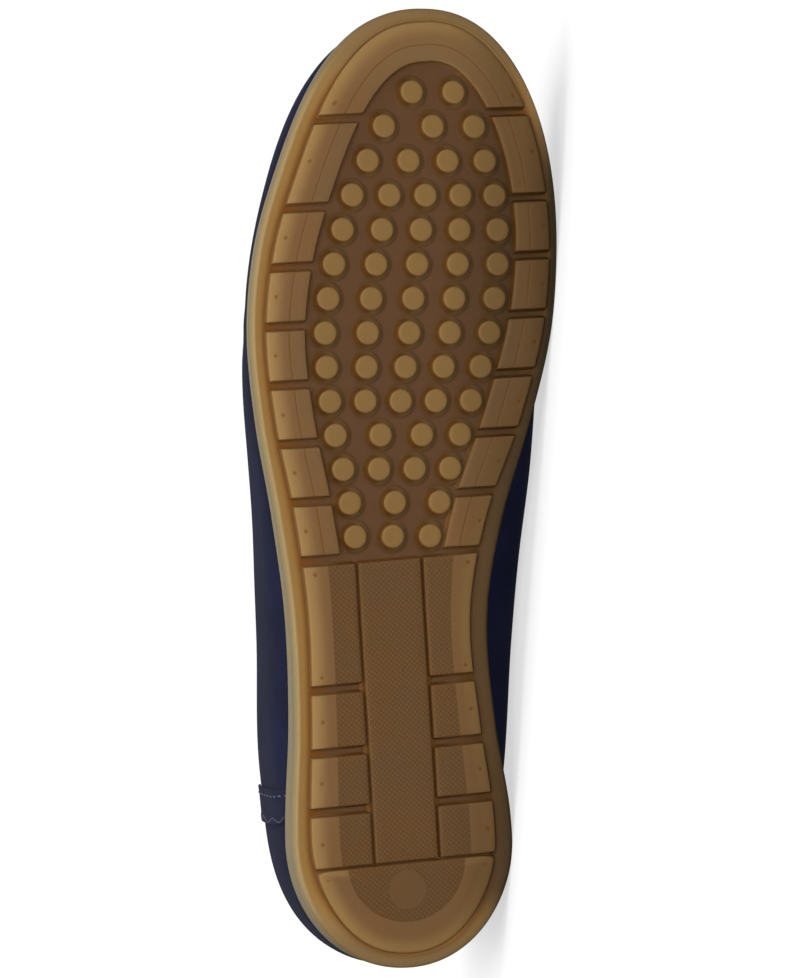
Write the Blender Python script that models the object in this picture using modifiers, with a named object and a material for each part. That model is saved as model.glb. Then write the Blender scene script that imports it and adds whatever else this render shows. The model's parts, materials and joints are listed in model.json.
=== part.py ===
# Flat slip-on shoe, right foot, lying on its inner side.
# Shoe axes while building: x from heel to toe, +y to the inner side, +z up from the tread.
# All sizes below are millimetres and turn into metres when a mesh is made.
import math

import bmesh
import bpy
import numpy as np
from mathutils import Matrix, Vector

MM = 0.001
OBJECT_NAME = "slip_on_shoe"
LATERAL, MEDIAL = -1, 1


def table(names, *lines):
    cells = np.array(lines, dtype=float)
    return {name: cells[:, k] for k, name in enumerate(names.split())}


# Sole outline: centre line and half width, before the two round ends
SOLE_BACK, SOLE_FRONT = -1.4, 256.7
HEEL_ROUND, HEEL_POWER = 35.0, 2.1
TOE_ROUND, TOE_POWER = 80.0, 2.25
SOLE_PLAN = table(
    "x centre half",
    (0, 1.25, 29.25),
    (40, 0.75, 29.75),
    (65, -1.0, 27.3),
    (95, -2.65, 27.05),
    (120, -2.55, 31.05),
    (145, -1.25, 37.05),
    (168, 0.4, 41.0),
    (190, 2.15, 41.4),
    (215, 5.15, 40.45),
    (257, 8.4, 39.8),
)

# Height of the side wall's top over the bottom line
SOLE_WALL = table(
    "x top",
    (0, 14.8),
    (40, 14.5),
    (80, 12.8),
    (115, 11.0),
    (150, 10.0),
    (190, 9.5),
    (256, 9.5),
)
TOE_SPRING, TOE_SPRING_FROM = 8.0, 178.0
ARCH_RISE, ARCH_FROM, ARCH_TO = 1.0, 50.0, 138.0
HEEL_SPRING, HEEL_SPRING_TO = 0.9, 12.0

# Rim: share of the tread inset and height, from the valley beside the tread out over the bead to the wall
RECESS = 2.6
RIM = table(
    "share z",
    (1.2, RECESS),
    (0.92, RECESS),
    (0.7, 2.35),
    (0.45, 1.95),
    (0.22, 1.65),
    (0.08, 2.1),
    (0.015, 3.5),
    (0.0, 5.6),
)
WALL_EDGE, WALL_EDGE_DROP = 0.7, 0.8

# Tread: inset from the sole outline and width of the edge lugs, both sides
TREAD = table(
    "x inset_lateral inset_medial lug_lateral lug_medial",
    (0, 5.1, 5.1, 10.4, 9.6),
    (35, 4.4, 5.2, 10.4, 9.6),
    (65, 3.9, 4.7, 10.4, 10.2),
    (95, 4.4, 5.3, 10.4, 10.2),
    (120, 4.5, 4.9, 10.1, 10.2),
    (140, 4.0, 3.5, 10.2, 10.2),
    (165, 3.7, 2.8, 10.3, 10.0),
    (190, 4.1, 2.4, 10.6, 9.5),
    (215, 4.5, 3.0, 10.3, 9.5),
    (257, 4.5, 4.3, 10.8, 10.8),
)
TREAD_DEPTH = 3.8

# Slanted gap lines across the sole, each given where it crosses y = 0
GAP = 2.5
TOE_BAND_LINE, FIRST_LUG_LINE, LUG_PITCH, LUG_ROWS = 226.5, 203.2, 15.6, 7
LUG_LINES = [TOE_BAND_LINE] + [FIRST_LUG_LINE - k * LUG_PITCH for k in range(LUG_ROWS)]
LUG_LINE_SLOPE = 0.06
HEEL_BLOCK_LINE, HEEL_BLOCK_GAP = 27.7, 0.8
PANEL_LINES = [LUG_LINES[-1], 75.4, 58.7, 43.0, HEEL_BLOCK_LINE]
PANEL_LINE_SLOPE = 0.08
STRIP_HALF, STRIP_GROOVE = 8.5, 0.9
STRIP_FRONT, STRIP_BACK = -3.5, 1.3

# Studs: rows from the toe back, count, the two end places across and how far the middle ones bow inwards
STUD_RADIUS, STUD_DRAFT, STUD_SIDES = 3.0, 0.35, 12
STUD_ROW_FIRST, STUD_ROW_PITCH, STUD_ROW_SAG, STUD_ROW_LEAN = 233.1, 9.12, 0.6, 0.012
STUD_ROWS = table(
    "count lateral medial bow",
    (2, 3.5, 15.0, 0.0),
    (3, -4.4, 20.4, 0.16),
    (4, -9.1, 23.1, 0.06),
    (5, -13.5, 25.6, 0.05),
    (5, -16.3, 26.3, 0.02),
    (5, -18.7, 26.2, 0.03),
    (5, -20.3, 25.3, 0.04),
    (5, -21.1, 23.9, 0.04),
    (5, -20.7, 21.5, 0.04),
    (5, -19.8, 18.8, 0.0),
    (4, -18.3, 15.8, 0.12),
    (4, -16.2, 13.1, 0.0),
    (3, -14.3, 10.2, 0.0),
    (3, -12.8, 7.7, 0.0),
)

# Upper: widest line of the last, its ridge and its collar
WALL = 1.8
CLEAR = 0.3
FEATHER_INSET = 2.6
LAST_HEEL_ROUND, LAST_TOE_ROUND = 38.0, 78.0
LAST = table(
    "x lateral medial height_lateral height_medial",
    (-1.5, 27.0, 31.6, 29, 29),
    (35, 27.7, 32.6, 29, 27),
    (52, 29.7, 34.4, 28.5, 25.5),
    (85, 30.9, 36.6, 28, 25),
    (110, 33.0, 38.7, 26, 24),
    (135, 35.7, 40.9, 23, 22),
    (160, 38.2, 41.8, 20, 20),
    (185, 37.5, 41.8, 19, 20),
    (210, 35.4, 43.4, 18.5, 19.5),
    (254, 33.7, 48.6, 17, 17),
)
RIDGE = table(
    "x y z",
    (27, 1.0, 90),
    (80, 0.5, 87),
    (105, 1.0, 80),
    (130, 2.0, 69),
    (150, 3.0, 60.5),
    (170, 4.0, 52.3),
    (188, 5.2, 45.8),
    (206, 6.2, 40.6),
    (219, 7.0, 38.3),
    (228, 7.6, 37.9),
)
SECTION_POWER = 2.2
SPRING_SHARE = 0.8
THROAT = 150.0
LAST_HEEL, LAST_TOE = LAST["x"][0], LAST["x"][-1]
RIDGE_BACK, RIDGE_FRONT = RIDGE["x"][0], RIDGE["x"][-1]
COLLAR = table(
    "x z",
    (0, 67.5),
    (20, 65.0),
    (45, 59.2),
    (70, 55.8),
    (95, 54.8),
    (115, 55.6),
    (132, 57.6),
    (142, 59.0),
    (150, 60.5),
)
LOWER_ROWS, UPPER_ROWS, LOWER_POWER = 5, 10, 1.25
QUARTER_SHARE = 0.86

# Insole and the strap over the outer quarter
INSOLE_INSET, INSOLE_THICK, INSOLE_EDGE = 4.9, 3.0, 0.7
STRAP_FROM, STRAP_TO, STRAP_THICK = 38.5, 46.8, 0.7
STRAP_FOOT, STRAP_TOP_SHARE = 0.08, 0.97
STRAP_COLUMNS, STRAP_ROWS = 5, 14

# Small step for slopes of the outline and the last, and how often a search over the last closes in
STATION_STEP = 0.004
SEARCH_STEPS = 8

# Weight shares used to find how the shoe rests, in grams per cubic centimetre
DENSITY = {"outsole": 1.1, "upper": 0.9, "insole": 0.35, "strap_lateral": 0.9}


def along(columns, name, x):
    # smooth curve through a table's rows, cubic between neighbours
    xs, ys = columns["x"], columns[name]
    slope = np.gradient(ys, xs)
    x = np.clip(x, xs[0], xs[-1])
    k = np.clip(np.searchsorted(xs, x) - 1, 0, len(xs) - 2)
    span = xs[k + 1] - xs[k]
    t = (x - xs[k]) / span
    return (
        ys[k] * (2 * t**3 - 3 * t**2 + 1)
        + slope[k] * span * (t**3 - 2 * t**2 + t)
        + ys[k + 1] * (3 * t**2 - 2 * t**3)
        + slope[k + 1] * span * (t**3 - t**2)
    )


def rounded(into, reach, power):
    # quarter superellipse: 0 at the end, 1 once "reach" is passed
    return (1 - np.clip(1 - into / reach, 0, 1) ** power) ** (1 / power)


def bottom_line(x):
    # toe spring, arch and the bevel of the heel
    toe = TOE_SPRING * (np.clip(x - TOE_SPRING_FROM, 0, None) / (SOLE_FRONT - TOE_SPRING_FROM)) ** 2
    arch = ARCH_RISE * np.sin(np.pi * np.clip((x - ARCH_FROM) / (ARCH_TO - ARCH_FROM), 0, 1)) ** 2
    heel = HEEL_SPRING * np.clip((HEEL_SPRING_TO - x) / HEEL_SPRING_TO, 0, 1) ** 2
    return toe + arch + heel


def wall_top(x):
    return along(SOLE_WALL, "top", x) + bottom_line(x)


def sole_edge(around):
    # around 0 to 1: heel to toe by the outer side, 1 to 2: back by the inner side
    side = np.where(np.mod(around, 2) <= 1, LATERAL, MEDIAL)
    x = SOLE_BACK + (SOLE_FRONT - SOLE_BACK) / 2 * (1 - np.cos(np.pi * around))
    ends = rounded(x - SOLE_BACK, HEEL_ROUND, HEEL_POWER) * rounded(SOLE_FRONT - x, TOE_ROUND, TOE_POWER)
    y = along(SOLE_PLAN, "centre", x) + side * along(SOLE_PLAN, "half", x) * ends
    return np.stack([x, y], axis=-1)


def inset_edge(around, inset):
    # the outline moved inwards square to itself
    run = sole_edge(around + STATION_STEP) - sole_edge(around - STATION_STEP)
    run /= np.linalg.norm(run, axis=-1, keepdims=True)
    inward = np.stack([-run[..., 1], run[..., 0]], axis=-1)
    return sole_edge(around) + inward * np.asarray(inset)[..., None]


def by_side(name, around):
    x = sole_edge(around)[..., 0]
    outer, inner = along(TREAD, name + "_lateral", x), along(TREAD, name + "_medial", x)
    return np.where(np.mod(around, 2) <= 1, outer, inner)


def ring_places(stations):
    return np.linspace(0, 2, 2 * stations, endpoint=False)


def lofted(rings):
    # closed rings from bottom to top; each end is closed by strips across from side to side
    points = np.concatenate(rings)
    n = len(rings[0])
    half = n // 2
    faces = []
    for r in range(len(rings) - 1):
        for k in range(n):
            a, b = r * n + k, r * n + (k + 1) % n
            faces.append((a, b, b + n, a + n))
    for base, turn in ((0, -1), ((len(rings) - 1) * n, 1)):
        strips = [(k, k + 1, n - k - 1, n - k) for k in range(1, half - 1)]
        strips += [(0, 1, n - 1), (half - 1, half, half + 1)]
        faces += [tuple(base + v for v in strip[::turn]) for strip in strips]
    return points, faces


def mesh_of(name, points, faces):
    mesh = bpy.data.meshes.new(name)
    mesh.from_pydata((np.asarray(points) * MM).tolist(), [], faces)
    mesh.update()
    return mesh


def ring_at(around, inset, z):
    plan = inset_edge(around, inset)
    return np.concatenate([plan, np.broadcast_to(z, plan.shape[:1])[:, None]], axis=1)


def sole_body():
    around = ring_places(38)
    tread_inset = by_side("inset", around)
    rings = [ring_at(around, share * tread_inset, z) for share, z in zip(RIM["share"], RIM["z"])]
    top = along(SOLE_WALL, "top", sole_edge(around)[:, 0])
    rings.append(ring_at(around, 0 * around, top - WALL_EDGE_DROP))
    rings.append(ring_at(around, 0 * around + WALL_EDGE, top))
    return lofted(rings)


def tread_edge(around, lug_share):
    # lug_share 0 is the outer edge of the tread, 1 the inner edge of the lugs
    return inset_edge(around, by_side("inset", around) + lug_share * by_side("lug", around))


def crossing(side, lug_share, x_line, slope):
    # where a tread edge of one side meets the slanted line x = x_line + slope * y
    around = np.linspace(0.02, 0.98, 600) if side == LATERAL else np.linspace(1.98, 1.02, 600)
    plan = tread_edge(around, lug_share)
    past = plan[:, 0] - x_line - slope * plan[:, 1]
    k = int(np.argmax(past > 0))
    mix = past[k - 1] / (past[k - 1] - past[k])
    return around[k - 1] + mix * (around[k] - around[k - 1])


def edge_run(side, lug_share, back, front, slope, count):
    ends = [crossing(side, lug_share, line, slope) for line in (back, front)]
    return tread_edge(np.linspace(*ends, count), lug_share)


def strip_run(offset, back, front, slope, count):
    # straight edge of the centre strip between two slanted lines
    lean = (STRIP_FRONT - STRIP_BACK) / (LUG_LINES[-1] - HEEL_BLOCK_LINE)
    base = np.linspace(back, front, count)
    y = (STRIP_BACK + offset + lean * (base - HEEL_BLOCK_LINE)) / (1 - lean * slope)
    return np.stack([base + slope * y, y], axis=-1)


def edge_lugs():
    for side in (LATERAL, MEDIAL):
        for front, back in zip(LUG_LINES[:-1], LUG_LINES[1:]):
            limits = (back + GAP / 2, front - GAP / 2, LUG_LINE_SLOPE, 5)
            yield edge_run(side, 0, *limits), edge_run(side, 1, *limits)


def toe_band():
    line = LUG_LINES[0] + GAP / 2
    for lug_share in (0, 1):
        ends = [crossing(side, lug_share, line, LUG_LINE_SLOPE) for side in (LATERAL, MEDIAL)]
        yield tread_edge(np.linspace(*ends, 19), lug_share)


def side_panels():
    for side in (LATERAL, MEDIAL):
        for front, back in zip(PANEL_LINES[:-1], PANEL_LINES[1:]):
            gap = HEEL_BLOCK_GAP if back == HEEL_BLOCK_LINE else GAP
            limits = (back + gap / 2, front - GAP / 2, PANEL_LINE_SLOPE, 6)
            yield edge_run(side, 0, *limits), strip_run(side * (STRIP_HALF + STRIP_GROOVE), *limits)


def centre_strip():
    limits = (HEEL_BLOCK_LINE + HEEL_BLOCK_GAP / 2, LUG_LINES[-1] - GAP / 2, PANEL_LINE_SLOPE, 12)
    return strip_run(-STRIP_HALF, *limits), strip_run(STRIP_HALF, *limits)


def heel_block():
    for side, heel_back in ((LATERAL, 0), (MEDIAL, 2)):
        front = crossing(side, 0, HEEL_BLOCK_LINE - HEEL_BLOCK_GAP / 2, PANEL_LINE_SLOPE)
        yield tread_edge(np.linspace(front, heel_back, 9), 0)


def raise_block(tread, one, other):
    # a tread block between two edge runs, its root sunk into the sole
    rows = [[tread.verts.new((*(point * MM), 0)) for point in run] for run in (one, other)]
    faces = []
    for k in range(len(one) - 1):
        faces.append(tread.faces.new((rows[0][k], rows[0][k + 1], rows[1][k + 1], rows[1][k])))
    block = bmesh.ops.extrude_face_region(tread, geom=faces)
    raised = [item for item in block["geom"] if isinstance(item, bmesh.types.BMVert)]
    bmesh.ops.translate(tread, verts=raised, vec=(0, 0, TREAD_DEPTH * MM))


def raise_stud(tread, x, y):
    bmesh.ops.create_cone(
        tread,
        cap_ends=True,
        segments=STUD_SIDES,
        radius1=STUD_RADIUS * MM,
        radius2=(STUD_RADIUS + STUD_DRAFT) * MM,
        depth=TREAD_DEPTH * MM,
        matrix=Matrix.Translation(Vector((x, y, TREAD_DEPTH / 2)) * MM),
    )


def stud_places():
    # straight rows that sag towards the heel in the middle of the tread
    last_row = len(STUD_ROWS["count"]) - 1
    for row, count in enumerate(STUD_ROWS["count"]):
        lateral, medial, bow = (STUD_ROWS[name][row] for name in ("lateral", "medial", "bow"))
        base = STUD_ROW_FIRST - row * STUD_ROW_PITCH - STUD_ROW_SAG * math.sin(math.pi * row / last_row)
        for share in np.linspace(0, 1, int(count)):
            y = lateral + (medial - lateral) * (share + bow * share * (1 - share))
            yield base + STUD_ROW_LEAN * y, y


def tread_mesh():
    tread = bmesh.new()
    for one, other in [*edge_lugs(), toe_band(), *side_panels(), centre_strip(), heel_block()]:
        raise_block(tread, one, other)
    for x, y in stud_places():
        raise_stud(tread, x, y)
    bmesh.ops.remove_doubles(tread, verts=tread.verts, dist=1e-7)
    bmesh.ops.recalc_face_normals(tread, faces=tread.faces)
    mesh = bpy.data.meshes.new("tread")
    tread.to_mesh(mesh)
    tread.free()
    return mesh


def bent(mesh):
    # the flat sole takes its toe spring, arch and heel bevel
    flat = np.empty(len(mesh.vertices) * 3)
    mesh.vertices.foreach_get("co", flat)
    flat = flat.reshape(-1, 3)
    flat[:, 2] += bottom_line(flat[:, 0] / MM) * MM
    mesh.vertices.foreach_set("co", flat.ravel())
    mesh.update()


def last_point(along_length, side, height):
    # along_length 0 heel to 1 toe, height 0 feather, 1 widest line, 2 ridge
    swing = (1 - np.cos(np.pi * along_length)) / 2
    around = along_length if side == LATERAL else 2 - along_length
    feather = inset_edge(around, FEATHER_INSET + 0 * around)
    feather_z = wall_top(feather[..., 0]) + CLEAR
    x_wide = LAST_HEEL + (LAST_TOE - LAST_HEEL) * swing
    ends = rounded(x_wide - LAST_HEEL, LAST_HEEL_ROUND, HEEL_POWER)
    ends = ends * rounded(LAST_TOE - x_wide, LAST_TOE_ROUND, TOE_POWER)
    name = "lateral" if side == LATERAL else "medial"
    middle = along(SOLE_PLAN, "centre", x_wide)
    reach = along(LAST, name, x_wide) - side * middle
    y_wide = middle + side * reach * ends
    z_wide = along(LAST, "height_" + name, x_wide) + bottom_line(x_wide) * SPRING_SHARE
    x_ridge = RIDGE_BACK + (RIDGE_FRONT - RIDGE_BACK) * swing
    y_ridge, z_ridge = along(RIDGE, "y", x_ridge), along(RIDGE, "z", x_ridge)
    power = 2 / SECTION_POWER
    low = np.clip(height, 0, 1)
    high = np.clip(height - 1, 0, 1) * np.pi / 2
    out, over = 1 - (1 - low) ** 2, 1 - np.clip(np.cos(high), 0, 1) ** power
    x = feather[..., 0] + (x_wide - feather[..., 0]) * out + (x_ridge - x_wide) * over
    y = feather[..., 1] + (y_wide - feather[..., 1]) * out + (y_ridge - y_wide) * over
    z = feather_z + (z_wide - feather_z) * low**LOWER_POWER + (z_ridge - z_wide) * np.sin(high) ** power
    return np.stack([x, y, z], axis=-1)


def station_at(x, back, front):
    # length station at which a line from back to front has reached x
    return math.acos(1 - 2 * (x - back) / (front - back)) / math.pi


THROAT_STATION = station_at(THROAT, RIDGE_BACK, RIDGE_FRONT)


def collar_height(along_length, side):
    # how far up the section the collar cuts it, 2 once the throat is passed
    if along_length >= THROAT_STATION - STATION_STEP / 100:
        return 2.0
    heights = np.linspace(1.05, 2.0, 400)
    section = last_point(np.full(heights.shape, along_length), side, heights)
    cut = along(COLLAR, "z", section[:, 0])
    above = np.nonzero(section[:, 2] > cut)[0]
    return float(heights[above[0]]) if len(above) else 2.0


def upper_stations():
    # even along the quarters, closer towards the throat, even again over the vamp
    quarter = THROAT_STATION * QUARTER_SHARE
    back = np.linspace(0, quarter, 18)
    near = THROAT_STATION - (THROAT_STATION - quarter) * np.linspace(1, 0, 7)[1:] ** 1.6
    front = np.linspace(THROAT_STATION, 1, 17)[1:]
    return np.concatenate([back, near, front])


def upper_surface():
    stations = upper_stations()
    points, faces = [], []
    rows = LOWER_ROWS + UPPER_ROWS + 1
    for side in (LATERAL, MEDIAL):
        first = len(points)
        for station in stations:
            top = collar_height(station, side)
            over = np.linspace(1, top, UPPER_ROWS + 1)[1:]
            heights = np.concatenate([np.linspace(0, 1, LOWER_ROWS + 1), over])
            points.extend(last_point(np.full(rows, station), side, heights))
        for i in range(len(stations) - 1):
            for j in range(rows - 1):
                a = first + i * rows + j
                quad = (a, a + rows, a + rows + 1, a + 1)
                faces.append(quad if side == LATERAL else quad[::-1])
    return points, faces


def welded(mesh):
    shape = bmesh.new()
    shape.from_mesh(mesh)
    bmesh.ops.remove_doubles(shape, verts=shape.verts, dist=1e-5)
    bmesh.ops.dissolve_degenerate(shape, edges=shape.edges, dist=1e-5)
    shape.to_mesh(mesh)
    shape.free()


def insole_body():
    around = ring_places(34)
    rings = []
    for inset, lift in ((0, 0), (0, INSOLE_THICK - INSOLE_EDGE), (INSOLE_EDGE, INSOLE_THICK)):
        plan = inset_edge(around, INSOLE_INSET + inset + 0 * around)
        rings.append(np.concatenate([plan, (wall_top(plan[:, 0]) + CLEAR + lift)[:, None]], axis=1))
    return lofted(rings)


def station_over(x, side, heights):
    # length station at which the last reaches x at each height, closing in by straight steps
    station = np.full(heights.shape, station_at(x, LAST_HEEL, LAST_TOE))
    for _ in range(SEARCH_STEPS):
        here, ahead = (last_point(station + step, side, heights)[:, 0] for step in (0, STATION_STEP))
        station = station + (x - here) / (ahead - here) * STATION_STEP
    return station


def strap_surface(side):
    # an upright patch of the last's own surface, moved out by the clearance
    points, faces = [], []
    climb = np.linspace(1, 2, 400)
    for x in np.linspace(STRAP_FROM, STRAP_TO, STRAP_COLUMNS):
        rise = last_point(station_over(x, side, climb), side, climb)[:, 2]
        collar = climb[np.argmax(rise > along(COLLAR, "z", x))]
        heights = np.linspace(STRAP_FOOT, 1 + (collar - 1) * STRAP_TOP_SHARE, STRAP_ROWS)
        here = station_over(x, side, heights)
        ahead, behind = (last_point(here + step, side, heights) for step in (STATION_STEP, -STATION_STEP))
        above, below = (last_point(here, side, heights + step) for step in (STATION_STEP, -STATION_STEP))
        outward = np.cross(ahead - behind, above - below) * -side
        outward /= np.linalg.norm(outward, axis=1, keepdims=True)
        points.extend(last_point(here, side, heights) + outward * CLEAR)
    for i in range(STRAP_COLUMNS - 1):
        for j in range(STRAP_ROWS - 1):
            a = i * STRAP_ROWS + j
            quad = (a, a + STRAP_ROWS, a + STRAP_ROWS + 1, a + 1)
            faces.append(quad if side == LATERAL else quad[::-1])
    return points, faces


def material(name, colour, roughness):
    made = bpy.data.materials.new(name)
    made.use_nodes = True
    shader = made.node_tree.nodes["Principled BSDF"]
    shader.inputs["Base Color"].default_value = (*colour, 1)
    shader.inputs["Roughness"].default_value = roughness
    return made


def placed(name, mesh, collection, root, made):
    piece = bpy.data.objects.new(name, mesh)
    piece.parent = root
    mesh.materials.append(made)
    collection.objects.link(piece)
    return piece


def thickened(piece, thickness, offset):
    shell = piece.modifiers.new("wall", "SOLIDIFY")
    shell.thickness = thickness * MM
    shell.offset = offset
    shell.use_even_offset = True
    shell.use_rim = True
    return shell


def finished(piece):
    # the piece's mesh with its modifiers worked in
    view = bpy.context.evaluated_depsgraph_get()
    mesh = bpy.data.meshes.new_from_object(piece.evaluated_get(view))
    piece.modifiers.clear()
    piece.data = mesh
    return piece


def weight_and_centre(piece, density):
    shape = bmesh.new()
    shape.from_mesh(piece.data)
    bmesh.ops.triangulate(shape, faces=shape.faces)
    corners = np.array([[loop.vert.co for loop in face.loops] for face in shape.faces])
    shape.free()
    volumes = np.einsum("ij,ij->i", corners[:, 0], np.cross(corners[:, 1], corners[:, 2])) / 6
    return volumes.sum() * density, (volumes[:, None] * corners.sum(axis=1) / 4).sum(axis=0) * density


def resting_face(points, centre):
    # the face of the shoe's hull on the inner side that carries the weight
    hull = bmesh.new()
    for point in points:
        hull.verts.new(point)
    bmesh.ops.convex_hull(hull, input=hull.verts)
    bmesh.ops.triangulate(hull, faces=hull.faces)
    best = None
    for face in hull.faces:
        a, b, c = (vert.co.copy() for vert in face.verts)
        normal = (b - a).cross(c - a).normalized()
        if normal.dot(a - centre) < 0:
            normal = -normal
        if normal.y < 0.7:
            continue
        foot = centre + normal * normal.dot(a - centre)
        inside = [normal.dot((q - p).cross(foot - p)) for p, q in ((a, b), (b, c), (c, a))]
        if min(inside) >= 0 or max(inside) <= 0:
            best = normal
    hull.free()
    return best


def lying_frame(pieces):
    weights = [weight_and_centre(piece, DENSITY[piece.name]) for piece in pieces]
    centre = Vector(sum(moment for _, moment in weights) / sum(weight for weight, _ in weights))
    points = [vert.co.copy() for piece in pieces for vert in piece.data.vertices]
    down = resting_face(points, centre)
    ahead = (Vector((1, 0, 0)) - down * down.x).normalized()
    up = -down
    turn = Matrix((ahead, up.cross(ahead), up))
    turned = np.array([turn @ point for point in points])
    low, high = turned.min(axis=0), turned.max(axis=0)
    drop = Vector((-(low[0] + high[0]) / 2, -(low[1] + high[1]) / 2, -low[2]))
    return Matrix.Translation(drop) @ turn.to_4x4()


for old in list(bpy.data.objects):
    bpy.data.objects.remove(old)

parts = bpy.data.collections.new(OBJECT_NAME)
cutters = bpy.data.collections.new("cutters")
for group in (parts, cutters):
    bpy.context.scene.collection.children.link(group)
root = bpy.data.objects.new("shoe_frame", None)
parts.objects.link(root)

rubber = material("gum_rubber", (0.36, 0.2, 0.08), 0.45)
leather = material("navy_leather", (0.03, 0.035, 0.07), 0.7)
sock = material("insole_leather", (0.45, 0.36, 0.26), 0.8)
trim = material("strap_leather", (0.035, 0.04, 0.08), 0.65)

outsole = placed("outsole", mesh_of("outsole", *sole_body()), parts, root, rubber)
tread = bpy.data.objects.new("tread", tread_mesh())
cutters.objects.link(tread)
tread.hide_render = True
tread.display_type = "WIRE"
join = outsole.modifiers.new("tread", "BOOLEAN")
join.operation = "UNION"
join.solver = "EXACT"
join.object = tread
finished(outsole)
bent(outsole.data)

upper = placed("upper", mesh_of("upper", *upper_surface()), parts, root, leather)
welded(upper.data)
thickened(upper, WALL, -1)
finished(upper)

insole = placed("insole", mesh_of("insole", *insole_body()), parts, root, sock)

strap = placed("strap_lateral", mesh_of("strap_lateral", *strap_surface(LATERAL)), parts, root, trim)
thickened(strap, STRAP_THICK, 1)
finished(strap)

root.matrix_world = lying_frame([outsole, upper, insole, strap])
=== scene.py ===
# Flat slip-on shoe, right foot, lying on its inner side: the finish of every surface.
# Shoe axes: x from heel to toe, +y to the inner side, +z up from the tread. Sizes are millimetres.
import json
import math

import bpy
import numpy as np
from mathutils import Matrix, Vector


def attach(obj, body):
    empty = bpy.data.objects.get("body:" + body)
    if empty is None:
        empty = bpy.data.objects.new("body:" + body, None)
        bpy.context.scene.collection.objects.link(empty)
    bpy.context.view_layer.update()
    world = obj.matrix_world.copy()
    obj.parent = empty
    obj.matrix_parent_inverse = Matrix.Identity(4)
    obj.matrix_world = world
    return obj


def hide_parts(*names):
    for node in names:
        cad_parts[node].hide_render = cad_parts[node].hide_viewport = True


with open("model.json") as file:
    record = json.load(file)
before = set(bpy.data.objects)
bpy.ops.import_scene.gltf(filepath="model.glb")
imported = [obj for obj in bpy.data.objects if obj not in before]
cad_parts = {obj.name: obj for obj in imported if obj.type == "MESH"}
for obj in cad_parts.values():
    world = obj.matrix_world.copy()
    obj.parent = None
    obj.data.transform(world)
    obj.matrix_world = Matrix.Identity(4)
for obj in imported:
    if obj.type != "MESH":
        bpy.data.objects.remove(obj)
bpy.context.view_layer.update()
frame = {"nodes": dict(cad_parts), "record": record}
print("solids:", ", ".join(sorted(frame["nodes"])))

mm = 0.001
lateral, medial = -1, 1


# Shoe frame, found again from the two flat spots of the tread

restMarks = {"heel_tread": (20.0, 1.1), "forefoot_tread": (162.3, -31.8)}  # x and y of each flat spot


def shoeAxes(mounts):
    # up is against the tread's outward normal, the line between the flat spots fixes the turn about it
    spots = {mount["name"]: np.array(mount["pos_m"]) for mount in mounts}
    heel, ball = (np.array(restMarks[name]) for name in ("heel_tread", "forefoot_tread"))
    up = -np.array(mounts[0]["axis"])
    up /= np.linalg.norm(up)
    run = spots["forefoot_tread"] - spots["heel_tread"]
    run -= up * (run @ up)
    run /= np.linalg.norm(run)
    lean = math.atan2(ball[1] - heel[1], ball[0] - heel[0])
    ahead = run * math.cos(lean) - np.cross(up, run) * math.sin(lean)
    inner = np.cross(up, ahead)
    origin = spots["heel_tread"] - (ahead * heel[0] + inner * heel[1]) * mm
    return np.array([ahead, inner, up]), origin


shoeTurn, shoeOrigin = shoeAxes(frame["record"]["mounts"])


def toWorld(points):
    return shoeOrigin + np.asarray(points) @ shoeTurn * mm


# Tables and curves shared by sole and upper

def table(names, *lines):
    cells = np.array(lines, dtype=float)
    return {name: cells[:, k] for k, name in enumerate(names.split())}


def along(columns, name, x, key="x"):
    # smooth curve through a table's rows, cubic between neighbours
    xs, ys = columns[key], columns[name]
    slope = np.gradient(ys, xs)
    x = np.clip(x, xs[0], xs[-1])
    k = np.clip(np.searchsorted(xs, x) - 1, 0, len(xs) - 2)
    span = xs[k + 1] - xs[k]
    t = (x - xs[k]) / span
    return (
        ys[k] * (2 * t**3 - 3 * t**2 + 1)
        + slope[k] * span * (t**3 - 2 * t**2 + t)
        + ys[k + 1] * (3 * t**2 - 2 * t**3)
        + slope[k + 1] * span * (t**3 - t**2)
    )


def rounded(into, reach, power):
    # quarter superellipse: 0 at the end, 1 once "reach" is passed
    return (1 - np.clip(1 - into / reach, 0, 1) ** power) ** (1 / power)


def eased(x, start, end):
    # 0 before start, 1 after end, smooth between; start may be the larger
    t = np.clip((x - start) / (end - start), 0, 1)
    return t * t * (3 - 2 * t)


def bell(way):
    # 1 at nought, falling away on both sides as e to the minus way squared
    return np.exp(-(way**2))


def fullTurn(steps):
    return np.linspace(0, 2 * np.pi, steps, endpoint=False)


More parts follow.
